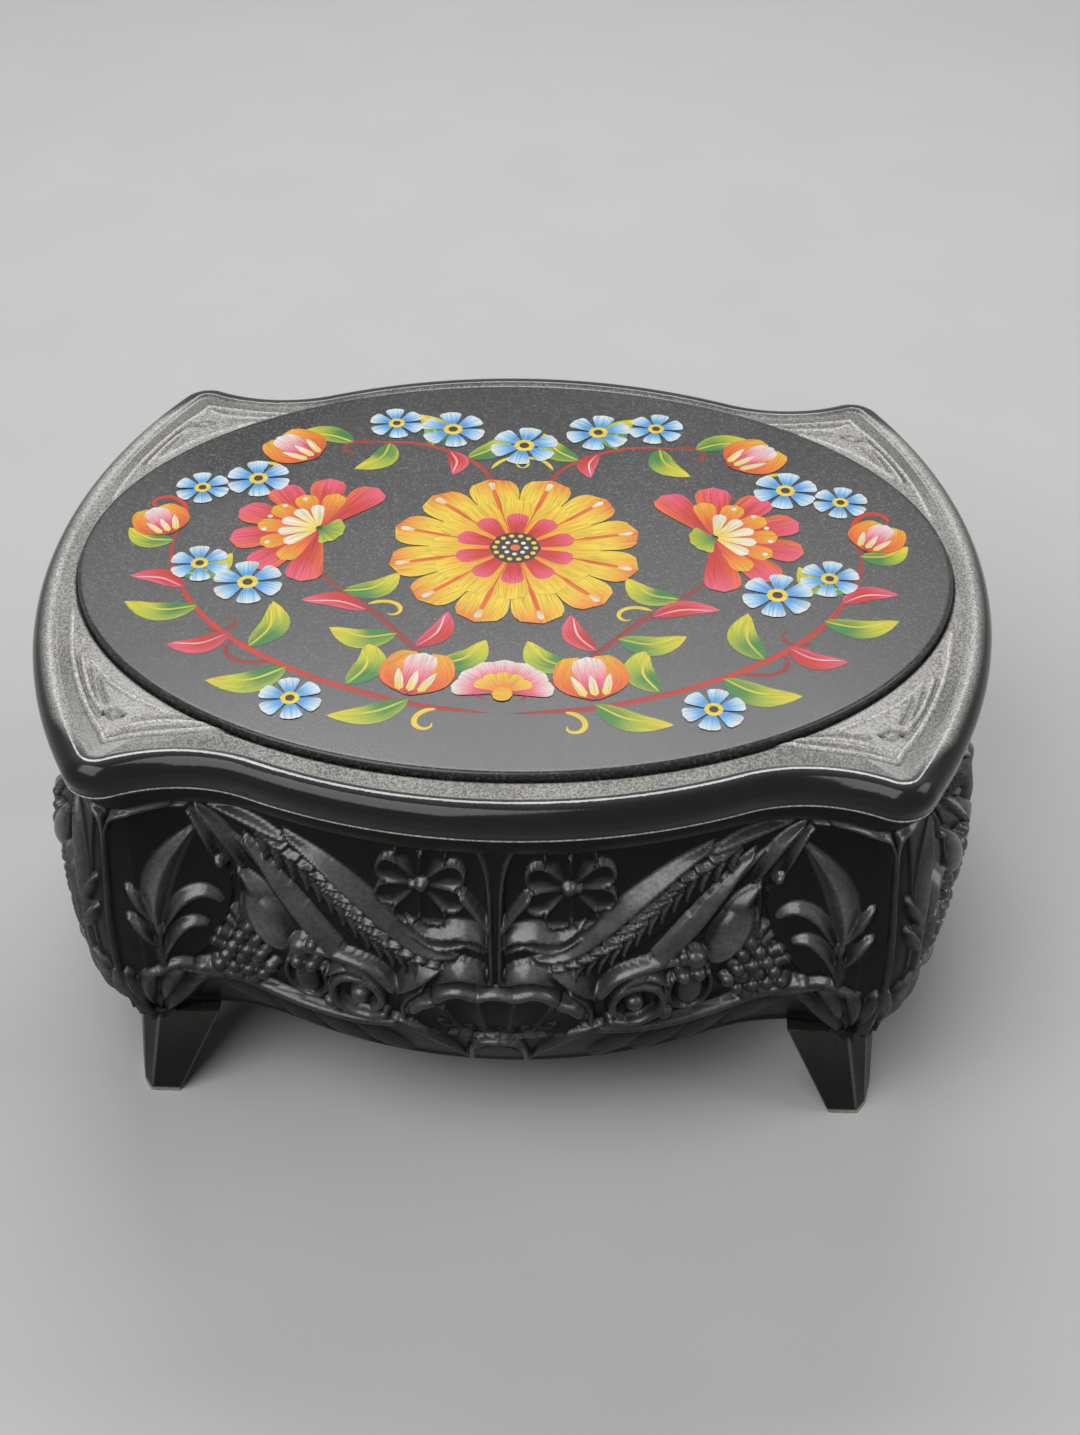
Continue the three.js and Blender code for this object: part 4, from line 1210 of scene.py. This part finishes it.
# %% Pocket and bead
LID_SECTION = [(2.8, 0), (1.7, 0), (1.3, 0.06), (1.2, 0.3), (1.2, 0.85), (1.05, 1.0), (0.6, 1.04),
               (0.36, 1.1), (0.34, 1.22), (0.44, 1.34), (0.25, 2.1), (0, 3.2), (0.22, 4.3),
               (0.85, 5.3), (1.5, 5.85), (2.1, 6.08), (2.7, 6.15), (3.3, 6.08), (3.8, 5.75)]
POCKET = ((58.2, 43.1, 66.8), (58.8, 43.7, 66.7), (59, 43.9, 66.4), (59, 43.9, 64),
          (59.2, 44.1, 63.7), (59.6, 44.5, 63.6))
PARTING_DUST, SLOPE_DUST, PAINTED_BEAD_HIGHLIGHT = 0.8, 0.66, 0.8

def lay_pocket(rows):
    for half_length, half_width, z in POCKET:
        rows.add(lid_oval(half_length, half_width), z, dust=0.1)
    rows.add(0.5 * lid_oval(*POCKET[-1][:2]) + 0.5 * lid_outline(3.0), LID_BOTTOM, dust=0.1)

def lay_bead(rows):
    bare = 1.1 + 1.8 * np.clip((np.abs(border_edge[:, 1]) - 38) / 8, 0, 1)
    for inset, rise in smooth_line(LID_SECTION, 2):
        on_top = rise > 4
        on_parting = inset < 0.5 and 1.06 < rise < 1.3
        dust = SLOPE_DUST * np.clip((inset - bare) / 1.5, 0, 1) if on_top else 0.0
        dust = np.maximum(PARTING_DUST if on_parting else 0.0, dust)
        # Painted highlight: a paler, glossier stripe along the crest of the bead.
        shine = PAINTED_BEAD_HIGHLIGHT * math.exp(-((inset - 2.4) / 0.6) ** 2) if on_top else 0.0
        rows.add(lid_outline(inset), LID_BOTTOM + rise, dust, shine)

print("bead section of", len(smooth_line(LID_SECTION, 2)), "points")

# %% [markdown]
# In each corner two thin raised lines frame a field with leaf lines: grooves with finer raised
# lines between them and a small eye at the tip. They are carved with the same tools as the walls,
# from one corner that serves all four.

# %% Leaf lines of the border
BORDER_GROUND = 0.3
FRAME_LINES = (
    ([(54.1, 43.7), (51.3, 42.8), (46.6, 41.9), (42.3, 41.3), (38, 41.1), (31, 43.4)], 0.5, 0.6),
    ([(54.1, 43.7), (55.3, 41.2), (56.8, 38.8), (58.9, 34.7), (61.2, 29.1), (63.1, 22.8),
      (64.6, 15)], 0.5, 0.6))
LEAF_GROOVES = (
    ([(53.6, 43.0), (50.4, 41.6), (45, 40.7), (39.6, 40.8)], 0.42, 0.32),
    ([(51.0, 39.2), (46.8, 38.7), (43.0, 39.2)], 0.42, 0.26),
    ([(55.9, 38.2), (57.3, 36.2), (59.2, 32.2), (60.6, 28.4), (61.4, 25.6)], 0.55, 0.34),
    ([(55.6, 35.4), (56.6, 33.2), (57.6, 30.6)], 0.45, 0.30),
    ([(57.2, 35.0), (58.4, 31.6), (59.4, 28.2)], 0.36, 0.28))
LEAF_LINES = (
    ([(53.6, 42.3), (50.8, 40.4), (45.6, 39.6), (39.6, 40.2)], 0.4, 0.55),
    ([(56.5, 36.3), (58.4, 32.8), (60.0, 28.6), (61.0, 25.4)], 0.36, 0.55),
    ([(59.4, 26.6), (55.4, 31.6), (50.6, 35.4), (45.6, 38.2)], 0.42, 0.5))
EYE_GROOVES = (
    ([(52.5, 38.2), (53.9, 37.2), (55.5, 37.6)], 0.36, 0.32),
    ([(52.5, 38.2), (54.0, 38.9), (55.5, 37.6)], 0.36, 0.32))

def carve_corner(c):
    c.height[:] = BORDER_GROUND
    for points, radius, depth in LEAF_GROOVES:
        c.groove(points, radius, depth)
    for points, radius, height in FRAME_LINES + LEAF_LINES:
        c.strand(points, radius, height)
    for points, radius, depth in EYE_GROOVES:
        c.groove(points, radius, depth)

print("corner carved with", len(FRAME_LINES + LEAF_LINES), "raised lines")

# %% [markdown]
# Years of dust have settled on the border and turned it pale grey. It is palest in the corner
# fields and darker in the channel outside the frame. The raised lines are painted paler and the
# grooves darker, a painted highlight and shade on the leaf lines. The dust could be left to noise,
# but then the lines would not stand out from their ground.

# %% Dust on the border
FIELD_FRONT = ((31, 43.4), (38, 41.1), (42.3, 41.3), (46.6, 41.9), (51.3, 42.8), (54.1, 43.7))
FIELD_END = ((15, 64.6), (22.8, 63.1), (29.1, 61.2), (34.7, 58.9), (38.8, 56.8), (43.7, 54.1))
BORDER_DUST, FIELD_DUST, CORNER_DUST = 0.58, 0.30, -0.22

def dust_on_border(c):
    front = np.interp(c.x, *zip(*FIELD_FRONT))
    end = np.interp(c.y, *zip(*FIELD_END))
    field = np.clip((front - c.y) / 0.8, 0, 1) * np.clip((end - c.x) / 0.8, 0, 1)
    near_corner = np.clip((c.x - 30) / 14, 0, 1) * np.clip((c.y - 14) / 14, 0, 1)
    relief = c.height - BORDER_GROUND
    # Painted highlight and shade: raised lines are painted paler and grooves darker.
    lines = 1.9 * np.clip(relief, 0, 1) + 0.9 * np.clip(relief, -1, 0)
    corner = near_corner * (FIELD_DUST * field + CORNER_DUST)
    return np.clip(BORDER_DUST + lines + corner, 0.04, 1)

print("dust on the border", BORDER_DUST)

# %% [markdown]
# Now the rows are laid in order. The border climbs from the bead to the plate and dips in a narrow
# gap round it, which is kept free of dust so that it stays dark, a painted shade; the seat lies
# below the plate. The grid that is bent from these rows is the whole lid.

# %% Lid
BORDER_ROWS, BORDER_Z, BORDER_CLIMB = 57, 69.02, 0.75
GAP_WIDE, GAP_DEEP, GAP_PAINTED_SHADE = 0.6, 0.3, 0.75
SEAT_ROWS = ((66.5, 50.4, 68.6), (66.3, 50.2, 68.5), (60, 45, 68.5))

def lay_border(rows):
    seat_edge = lid_oval(*SEAT)
    for f in np.linspace(0, 1, BORDER_ROWS + 1)[1:]:
        xy = (1 - f) * border_edge + f * seat_edge
        to_seat = np.hypot(*(border_edge - seat_edge).T) * (1 - f)
        c = Carving(xy[:, 0], np.abs(xy[:, 1]))
        carve_corner(c)
        dip = np.clip(1 - to_seat / GAP_WIDE, 0, 1) ** 2
        z = BORDER_Z + BORDER_CLIMB * f + c.height - GAP_DEEP * dip
        # Painted shade: dust is taken out of the gap by the plate, so it stays dark.
        rows.add(xy, z, dust_on_border(c) * (1 - GAP_PAINTED_SHADE * dip))

def lay_seat(rows):
    for half_length, half_width, z in SEAT_ROWS:
        rows.add(lid_oval(half_length, half_width), z, dust=0.3)

lid_rows = Rows()
for lay in (lay_pocket, lay_bead, lay_border, lay_seat):
    lay(lid_rows)
lid = bend_grid(*lid_rows.closed())
hand_over(lid, "lid_moulding", lid_plastic, "lid", ["lid_shell"])

# %% [markdown]
# The oval plate is a disc with a rolled edge. A circle is stretched to the oval, raised to its
# thickness and its upper edge is bevelled; a narrow inset ring keeps the flat top flat in the
# shading. Its finish is glossy black with a haze of fine dust and many hair scratches, which are
# very long thin noise at three angles.

# %% Finish of the plate
HAIR_ANGLES = (0.6, -0.5, 1.7)
HAIR_FROM = (0.70, 0.71, 0.72)

def make_plate_finish():
    f = Finish("plate_gloss", IOR=1.5)
    haze = f.noise(16, 3, 0.5)
    specks = f.noise(2300, 2, 0.8)
    lint = f.noise(620, 2, 0.7)
    hair = [f.noise(1, 2, 0.5, f.stretch((1400, 30, 1), (0, 0, a))) for a in HAIR_ANGLES]
    hair = [f.span(strand, low, low + 0.08) for strand, low in zip(hair, HAIR_FROM)]
    scratch = f.combine("MAXIMUM", f.combine("MAXIMUM", hair[0], hair[1]), hair[2])
    scratch = f.times(scratch, f.span(haze, 0.35, 0.65, 0.3, 1.0))
    dust = f.times(f.span(specks, 0.52, 0.70), f.span(haze, 0.3, 0.7, 0.5, 1.0))
    dust = f.combine("MAXIMUM", dust, f.span(lint, 0.72, 0.80, 0, 0.7))
    black = f.blend(f.span(haze, 0.3, 0.7), (0.0090, 0.0092, 0.0102), (0.019, 0.019, 0.0205))
    black = f.blend(f.times(dust, 0.6), black, (0.24, 0.235, 0.22))
    f.set("Base Color", f.blend(f.times(scratch, 0.35), black, (0.16, 0.16, 0.16)))
    f.set("Roughness", f.combine("ADD", f.span(haze, 0.3, 0.7, 0.26, 0.36), f.times(dust, 0.25)))
    f.set("Normal", f.bump(specks, 0.12, 0.00004))
    print("plate finish with", len(hair), "sets of scratches")
    return f.material

plate_gloss = make_plate_finish()

# %% [markdown]
# The disc itself takes its size and height from its solid, so that the paint below finds its top.

# %% Oval plate
PLATE_POINTS, PLATE_ROUND, TOP_RING = 288, 0.6, 0.4

def top_face(bm):
    return max(bm.faces, key=lambda face: face.calc_center_median().z)

def build_plate():
    low, high = (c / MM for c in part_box("painted_plate"))
    bm = bmesh.new()
    bmesh.ops.create_circle(bm, cap_ends=True, segments=PLATE_POINTS, radius=1)
    bmesh.ops.scale(bm, vec=(high.x * MM, high.y * MM, 1), verts=bm.verts)
    bmesh.ops.translate(bm, vec=(0, 0, low.z * MM), verts=bm.verts)
    grown = bmesh.ops.extrude_face_region(bm, geom=bm.faces[:])["geom"]
    raised = [part for part in grown if isinstance(part, bmesh.types.BMVert)]
    bmesh.ops.translate(bm, vec=(0, 0, (high.z - low.z) * MM), verts=raised)
    bmesh.ops.bevel(bm, geom=top_face(bm).edges[:], offset=PLATE_ROUND * MM, offset_type="OFFSET",
                    segments=5, profile=0.5, affect="EDGES", material=-1)
    bmesh.ops.inset_region(bm, faces=[top_face(bm)], thickness=TOP_RING * MM, depth=0)
    hand_over(bm, "oval_plate", plate_gloss, "lid", ["painted_plate"], crisp=60)

build_plate()

# %% [markdown]
# The plate is painted by hand with loaded brush strokes: petals and leaves that shade from one
# colour into another, white tips, dots, and thin curls. The paint is a little glossy, shows the
# marks of the bristles along each stroke, and has a few flecks of dust. The bristle marks are
# noise stretched along the stroke, which a UV map laid along it makes possible; Object coordinates
# would streak all strokes in one direction.

# %% Paint finish
def make_paint():
    f = Finish("brush_paint", IOR=1.48, Specular_IOR_Level=0.3)
    along_stroke = f.node("UVMap")
    along_stroke.uv_map = "stroke"
    bristle = f.noise(1, 2, 0.6, f.stretch((5.5, 0.16, 1), source=along_stroke.outputs["UV"]))
    fleck = f.noise(1300, 2, 0.7)
    colour = f.stored("paint", "Color")
    deep = f.node("HueSaturation", Value=0.62, Saturation=1.08)
    f.link(colour, deep.inputs["Color"])
    streaked = f.blend(f.span(bristle, 0.34, 0.60), deep.outputs["Color"], colour)
    dusty = f.span(fleck, 0.60, 0.80, 0, 0.35)
    f.set("Base Color", f.blend(dusty, streaked, (0.10, 0.095, 0.085)))
    f.set("Roughness", f.span(bristle, 0.3, 0.7, 0.30, 0.46))
    f.set("Normal", f.bump(bristle, 0.35, 0.00006))
    print(f.material.name, "made")
    return f.material

brush_paint = make_paint()

# %% [markdown]
# A picture could be drawn by a pattern in the finish, but paint has a body, so each stroke is its
# own thin strip: a small grid bent along the stroke's line, a little thicker in the middle, with
# its colour stored on its points. Four outlines serve all strokes: a drop, a leaf, a line and a
# dot. They give the width at each share of the stroke's length.

# %% Outlines of a stroke
def drop_shape(t):
    end = np.clip(t - 0.68, 0, 1) / 0.32
    return (0.12 + 0.88 * t ** 0.8) * np.sqrt(np.clip(1 - end ** 2.4, 0, 1))

def leaf_shape(t):
    return np.sin(np.pi * np.clip(t, 0, 1) ** 0.85) ** 0.8

def line_shape(t):
    return np.clip(np.minimum(t / 0.12, (1 - t) / 0.45), 0, 1) ** 0.6

def dot_shape(t):
    return np.sqrt(np.clip(1 - (2 * t - 1) ** 2, 0, 1))

SHAPES = {"drop": drop_shape, "leaf": leaf_shape, "line": line_shape, "dot": dot_shape}
print("strokes come in", len(SHAPES), "shapes")

# %% [markdown]
# One stroke at a time: its line is smoothed, a grid of five points across is bent along it, and
# each point takes its colour, which can turn into another along the stroke or towards one side.
# Later strokes lie over earlier ones by a hair, and whole layers over layers by two hundredths of
# a millimetre, because paint dries between them.

# %% Brush
FIRST_LEVEL, LAYER_STEP, STROKE_STEP = 0.012, 0.022, 0.00008
BODY, ACROSS, NARROWEST = 0.018, 4, 0.012
BRISTLE_SHIFT, SIDE_SHARE = 7.3, 0.75

class Brush:
    def __init__(self, top):
        self.bm = bmesh.new()
        self.colour = self.bm.verts.layers.float_color.new("paint")
        self.uv = self.bm.loops.layers.uv.new("stroke")
        self.top = top
        self.count = 0
        self.layer = 0

    def stroke(self, points, width, colours, shape="drop", side=None):
        line = smooth_line(points, 7) if len(points) > 2 else np.linspace(points[0], points[-1], 9)
        n = len(line)
        ahead = np.gradient(line, axis=0)
        ahead /= np.maximum(np.hypot(*ahead.T), 1e-9)[:, None]
        across = np.stack((-ahead[:, 1], ahead[:, 0]), 1)
        t = np.linspace(0, 1, n)
        wide = np.maximum(SHAPES[shape](t) * width / 2, NARROWEST)
        walked = np.concatenate(([0], np.cumsum(np.hypot(*np.diff(line, axis=0).T))))
        tints = np.array(colours, float)
        stops = np.linspace(0, 1, len(tints))
        tint = np.stack([np.interp(t, stops, tints[:, k]) for k in range(3)], 1)
        made = bmesh.ops.create_grid(self.bm, x_segments=n - 1, y_segments=ACROSS, size=1)["verts"]
        level = self.top + FIRST_LEVEL + LAYER_STEP * self.layer + STROKE_STEP * self.count
        where = {}
        for v in made:
            i = round((v.co.x + 1) / 2 * (n - 1))
            a = round(v.co.y * 2) / 2
            x, y = line[i] + across[i] * a * wide[i]
            body = BODY * (1 - a * a) * min(1, wide[i] / 0.8)
            where[v] = (a * wide[i] + BRISTLE_SHIFT * self.count, walked[i])
            v.co = (x * MM, y * MM, (level + body) * MM)
            c = tint[i]
            if side is not None:
                c = c + (np.array(side) - c) * max(0, a) ** 1.5 * SIDE_SHARE
            v[self.colour] = (*c, 1)
        for face in {face for v in made for face in v.link_faces}:
            for corner in face.loops:
                corner[self.uv].uv = where[corner.vert]
        self.count += 1

print("a stroke is", BODY, "mm thick in its middle")

# %% [markdown]
# Most strokes are painted twice, as mirror images. A dot is a stroke as wide as it is long, and
# petals are strokes set round a centre, all the way or in a fan.

# %% Repeated strokes
class Painting(Brush):
    def both(self, points, *args, **more):
        self.stroke(points, *args, **more)
        self.stroke([(-x, y) for x, y in points], *args, **more)

    def dot(self, x, y, r, colour):
        self.stroke([(x - r, y), (x + r, y)], 2 * r, [colour, colour], "dot")

    def petals(self, centre, inner, outer, count, width, colours, start=90.0, spread=360.0, side=None):
        c = np.array(centre)
        steps = count if spread == 360 else max(1, count - 1)
        for k in range(count):
            a = math.radians(start + spread * k / steps)
            ray = np.array((math.cos(a), math.sin(a)))
            middle = (inner + outer) / 2
            line = [c + inner * ray, c + middle * ray, c + outer * ray]
            self.stroke(line, width, colours, side=side)

painting = Painting(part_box("painted_plate")[1].z / MM)
print("paint lies on", round(painting.top, 2), "mm")

# %% [markdown]
# The painter's pots. Each colour is written as the light it sends back, in shares of red, green
# and blue, which is what the shader reckons with; that is why even a bright green looks like a
# small number here.

# %% Colours
GOLD = (0.80, 0.43, 0.018)
YELLOW = (0.84, 0.62, 0.06)
ORANGE = (0.80, 0.16, 0.010)
RED = (0.60, 0.030, 0.014)
CRIMSON = (0.42, 0.014, 0.035)
PINK = (0.80, 0.13, 0.21)
BRICK = (0.30, 0.030, 0.022)
WHITE = (0.80, 0.78, 0.72)
BLUE = (0.11, 0.34, 0.68)
SKY = (0.38, 0.62, 0.84)
GREEN = (0.045, 0.22, 0.045)
LIME = (0.50, 0.54, 0.03)
DARK = (0.030, 0.012, 0.008)
print("gold sends back", GOLD)

# %% [markdown]
# The painting is a plain mirrored bouquet in bright colours, so each stroke of one half is given
# once. A painter starts with what lies underneath: here two bent stems on each side and a short
# one above, with thin curls that wind up towards their ends.

# %% Stems and curls
CURL_STEPS = 9
STEMS = (
    ([(1.5, -37.5), (14, -35.5), (30, -29), (44, -18), (52, -3), (52, 10)], 1.0, [BRICK, RED, BRICK]),
    ([(2, -35), (11, -26), (19, -16), (27, -8), (31, -2)], 0.9, [BRICK, BRICK]),
    ([(3, 18), (8, 26), (17, 31), (28, 31)], 0.8, [BRICK, RED]))
CURLS = (
    ((33, -27), -20, 15, 190, 0.85, BRICK), ((47, -13), -65, 11, 210, 0.8, BRICK),
    ((52, 8), 95, 15, -230, 0.9, RED), ((8, -36.5), -5, 12, -260, 0.8, YELLOW),
    ((38, 22), 60, 11, -250, 0.8, YELLOW), ((24, 31), 25, 12, -240, 0.8, BRICK),
    ((5, 24), 110, 13, 230, 0.7, YELLOW), ((21, -13), 150, 11, 240, 0.7, YELLOW),
    ((44, -20), 200, 9, -200, 0.7, BRICK))

def paint_curl(p, start, direction, length, turn, width, colour):
    points = [np.array(start, float)]
    a = math.radians(direction)
    for k in range(CURL_STEPS):
        a += math.radians(turn) * (0.25 + 0.19 * k) / CURL_STEPS
        stride = length / CURL_STEPS * (1 - 0.05 * k)
        points.append(points[-1] + stride * np.array((math.cos(a), math.sin(a))))
    p.both(points, width, [colour, colour], "line")

for points, width, tints in STEMS:
    painting.both(points, width, tints, "line")
for curl in CURLS:
    paint_curl(painting, *curl)
print("strokes after the stems", painting.count)

# %% [markdown]
# Leaves grow along the stems. Each is one loaded stroke, paler on one side, with a thin pale vein
# over it. Most are green; a few are crimson and a little slimmer.

# %% Painted leaves
GREEN_LEAVES = (
    ((13, -35), (24, -39), -1.6, 4.2), ((22, -32), (20, -22), 2, 4.6),
    ((31, -28.5), (42, -32), -2, 4.8), ((37, -24), (35, -13), 2, 4.6),
    ((46, -14.5), (57, -14), -2, 4.4), ((50, -7), (43, -1), 2, 4.2),
    ((52.5, 2), (60, 5), -1.6, 4.0), ((10, -27), (3, -21), 2, 4.6),
    ((16, -20), (26, -19), -2, 4.6), ((25, -10), (17, -5), 2, 4.4),
    ((9, 27), (3, 35), 1.6, 4.4), ((15, 30.5), (18, 40), 2, 4.6),
    ((22, 31), (27, 23), -2, 4.4), ((28, 31), (38, 33), 1.6, 4.4))
CRIMSON_LEAVES = (
    ((40.5, -21), (49, -24), -1.6, 3.8), ((49, -10), (57.5, -7.5), 1.4, 3.6),
    ((13, -23), (9, -14.5), 1.4, 3.6), ((21, -14.5), (31, -12.5), 1.4, 3.6),
    ((12, 29), (11, 22), -1.2, 3.2))

def paint_leaves(p, leaves, tints, side, vein, vein_tints):
    for base, tip, bow, width in leaves:
        b, t = np.array(base, float), np.array(tip, float)
        ahead = t - b
        across = np.array((-ahead[1], ahead[0])) / np.hypot(*ahead)
        p.layer = 1
        p.both([b, (b + t) / 2 + bow * across, t], width, tints, "leaf", side=side)
        rib = (b, (b + t) / 2 + 0.8 * bow * across, t)
        p.layer = 2
        p.both([b + (q - b) * 0.9 for q in rib], vein, vein_tints, "line")

paint_leaves(painting, GREEN_LEAVES, [GREEN, GREEN, LIME, YELLOW], LIME, 0.4, [LIME, YELLOW])
paint_leaves(painting, CRIMSON_LEAVES, [CRIMSON, RED, PINK], PINK, 0.35, [PINK, WHITE])
print("strokes after the leaves", painting.count)

# %% [markdown]
# A crimson blossom opens on each side of the middle, half turned outwards: a small green calyx,
# then three fans of petals, each shorter and paler than the one before, and white dots.

# %% Side blossoms
def paint_blossom(p, centre, out):
    p.layer = 3
    p.petals(centre, 0.4, 4.0, 5, 2.6, [GREEN, LIME], start=out + 120, spread=120)
    p.petals(centre, 1.0, 14.0, 7, 7.0, [CRIMSON, RED, PINK], start=out - 105, spread=210, side=ORANGE)
    p.layer = 4
    p.petals(centre, 0.8, 9.8, 6, 4.4, [RED, ORANGE, GOLD], start=out - 80, spread=160)
    p.layer = 5
    p.petals(centre, 0.6, 6.5, 5, 2.6, [YELLOW, WHITE], start=out - 60, spread=120)
    for k in range(5):
        a = math.radians(out - 48 + 24 * k)
        p.dot(centre[0] + 8.6 * math.cos(a), centre[1] + 8.6 * math.sin(a), 0.42, WHITE)

paint_blossom(painting, (30.5, 6), 20)
paint_blossom(painting, (-30.5, 6), 160)
print("strokes after the blossoms", painting.count)

# %% [markdown]
# The large golden flower in the middle has three rings of petals, red lines and pale tips on the
# outer ring, and a dark heart full of dots. Each ring lies on the one before.

# %% Middle flower
MIDDLE = (0, 2)
HEART_DOTS = ((3.1, 14, 0.42, YELLOW), (1.7, 8, 0.38, WHITE), (0.0, 1, 0.8, ORANGE))

def on_ring(ring, degrees):
    a = math.radians(degrees)
    return ring * math.cos(a), MIDDLE[1] + ring * math.sin(a)

def paint_middle(p):
    p.layer = 3
    p.petals(MIDDLE, 3, 19.5, 12, 9.6, [GOLD, GOLD, YELLOW, ORANGE], start=75, side=YELLOW)
    p.layer = 4
    p.petals(MIDDLE, 3, 17.5, 12, 1.0, [RED, ORANGE], start=75)
    for k in range(12):
        p.stroke([on_ring(15.4, 75 + 30 * k), on_ring(18.6, 75 + 30 * k)], 1.3, [GOLD, WHITE])
    p.layer = 5
    p.petals(MIDDLE, 2.5, 13.2, 12, 6.4, [ORANGE, GOLD, YELLOW], start=90)
    p.layer = 6
    p.petals(MIDDLE, 2.0, 9.4, 10, 4.2, [CRIMSON, RED, PINK], start=90)
    p.layer = 7
    p.dot(*MIDDLE, 4.0, DARK)
    p.layer = 8
    for ring, count, r, colour in HEART_DOTS:
        for k in range(count):
            p.dot(*on_ring(ring, 360 * k / count), r, colour)

paint_middle(painting)
print("strokes after the middle flower", painting.count)

# %% [markdown]
# Small blue flowers fill the gaps, in pairs left and right and one on the middle line. Each has
# six petals that pale towards the tip, a yellow eye and a dark dot.

# %% Blue flowers
BLUE_FLOWERS = ((12, 35.5, 5.4), (21.5, 37, 4.6), (0, 31, 5.6), (39.5, -8.5, 5.4),
                (47.5, -4.0, 4.6), (29.5, -35.5, 4.6), (42, 19.5, 5.2), (50.5, 16.5, 4.4))

def paint_blue_flower(p, x, y, r):
    for s in ((1, -1) if x else (1,)):
        start = 80 if s > 0 else 100
        p.layer = 4
        p.petals((s * x, y), 0.16 * r, r, 6, 0.82 * r, [BLUE, BLUE, SKY, WHITE], start=start)
        p.layer = 5
        p.dot(s * x, y, 0.30 * r, YELLOW)
        p.layer = 6
        p.dot(s * x, y, 0.15 * r, DARK)

for flower in BLUE_FLOWERS:
    paint_blue_flower(painting, *flower)
print("strokes after the blue flowers", painting.count)

# %% [markdown]
# Last come the rosy buds and a half-open blossom at the foot of the bouquet. A bud is two orange
# petals that close round a pink one, with three pale lines. Then the painting is handed over as
# one piece on the lid; it stands for no solid, because the model has no paint.

# %% Buds and foot of the bouquet
BUDS = ((36.5, 28.5, 40, 5.4), (12.5, -30.0, 100, 5.6), (55.0, 6.5, 60, 4.6))
BUD_PETALS = ((0.62, [RED, ORANGE, GOLD]), (-0.62, [RED, ORANGE, GOLD]), (0.0, [CRIMSON, PINK, WHITE]))

def paint_bud(p, x, y, direction, r):
    for s in (1, -1):
        a = math.radians(direction if s > 0 else 180 - direction)
        way = r * np.array((math.cos(a), math.sin(a)))
        cross = r * np.array((-math.sin(a), math.cos(a)))
        c = np.array((s * x, y))
        for off, tints in BUD_PETALS:
            p.layer = 3 if off else 4
            p.stroke([c - 0.7 * way, c + off * cross, c + way + 0.35 * off * cross], 1.05 * r, tints)
        p.layer = 5
        for k in (-0.5, 0.0, 0.5):
            line = [c - 0.6 * way + 0.5 * k * cross, c + 0.25 * way + k * cross]
            p.stroke(line, 0.22 * r, [YELLOW, WHITE], "line")

def paint_foot(p):
    p.layer = 3
    p.petals((0, -33), 0.8, 7.4, 7, 4.4, [CRIMSON, PINK, WHITE], start=10, spread=160)
    p.layer = 4
    p.petals((0, -33), 0.6, 4.6, 5, 2.6, [ORANGE, YELLOW], start=30, spread=120)
    p.layer = 5
    p.dot(0, -33.4, 1.5, GOLD)

for bud in BUDS:
    paint_bud(painting, *bud)
paint_foot(painting)
print("brush strokes", painting.count)
hand_over(painting.bm, "bouquet_paint", brush_paint, "lid", crisp=0, turn_out=False)

# %% [markdown]
# The hinge is a small stamped one: two leaves whose fingers curl round one pin, with slotted
# screws. The model has its shape, so its pieces are rounded copies in dull brass. The brass has a
# fine grain along the pin, as from rolling, and darker clouds of tarnish. The pin is rounded only
# at its ends, because its round side has no edge that a file would take off.

# %% Hinge
LEAF_ROUND, SCREW_ROUND = 0.12, 0.06

def make_brass():
    f = Finish("dull_brass", Metallic=1.0)
    clouds = f.noise(260, 4)
    grain = f.noise(1, 2, 0.6, f.stretch((300, 5200, 5200)))
    metal = f.blend(f.span(grain, 0.3, 0.7), (0.40, 0.29, 0.12), (0.56, 0.43, 0.20))
    f.set("Base Color", f.blend(f.span(clouds, 0.48, 0.75, 0, 0.8), metal, (0.13, 0.085, 0.035)))
    f.set("Roughness", f.span(clouds, 0.3, 0.7, 0.26, 0.48))
    f.set("Normal", f.bump(grain, 0.15, 0.00005))
    return f.material

dull_brass = make_brass()

def build_hinge_piece(node, name, body, round_mm, over=25):
    bm = copy_solid(node)
    round_edges(bm, round_mm, over)
    hand_over_flat(bm, name, dull_brass, body, node)

build_hinge_piece("hinge_wall_leaf", "hinge_leaf_wall", "casket", LEAF_ROUND)
build_hinge_piece("hinge_lid_leaf", "hinge_leaf_lid", "lid", LEAF_ROUND)
build_hinge_piece("hinge_pin", "hinge_rod", "casket", LEAF_ROUND, over=60)
for spot in ("left", "middle", "right"):
    build_hinge_piece("hinge_wall_screw_" + spot, "wall_screw_" + spot, "casket", SCREW_ROUND, over=35)
    build_hinge_piece("hinge_lid_screw_" + spot, "lid_screw_" + spot, "lid", SCREW_ROUND, over=35)

# %% [markdown]
# Last, a closing line is printed.

# %% Closing
print("all pieces built")
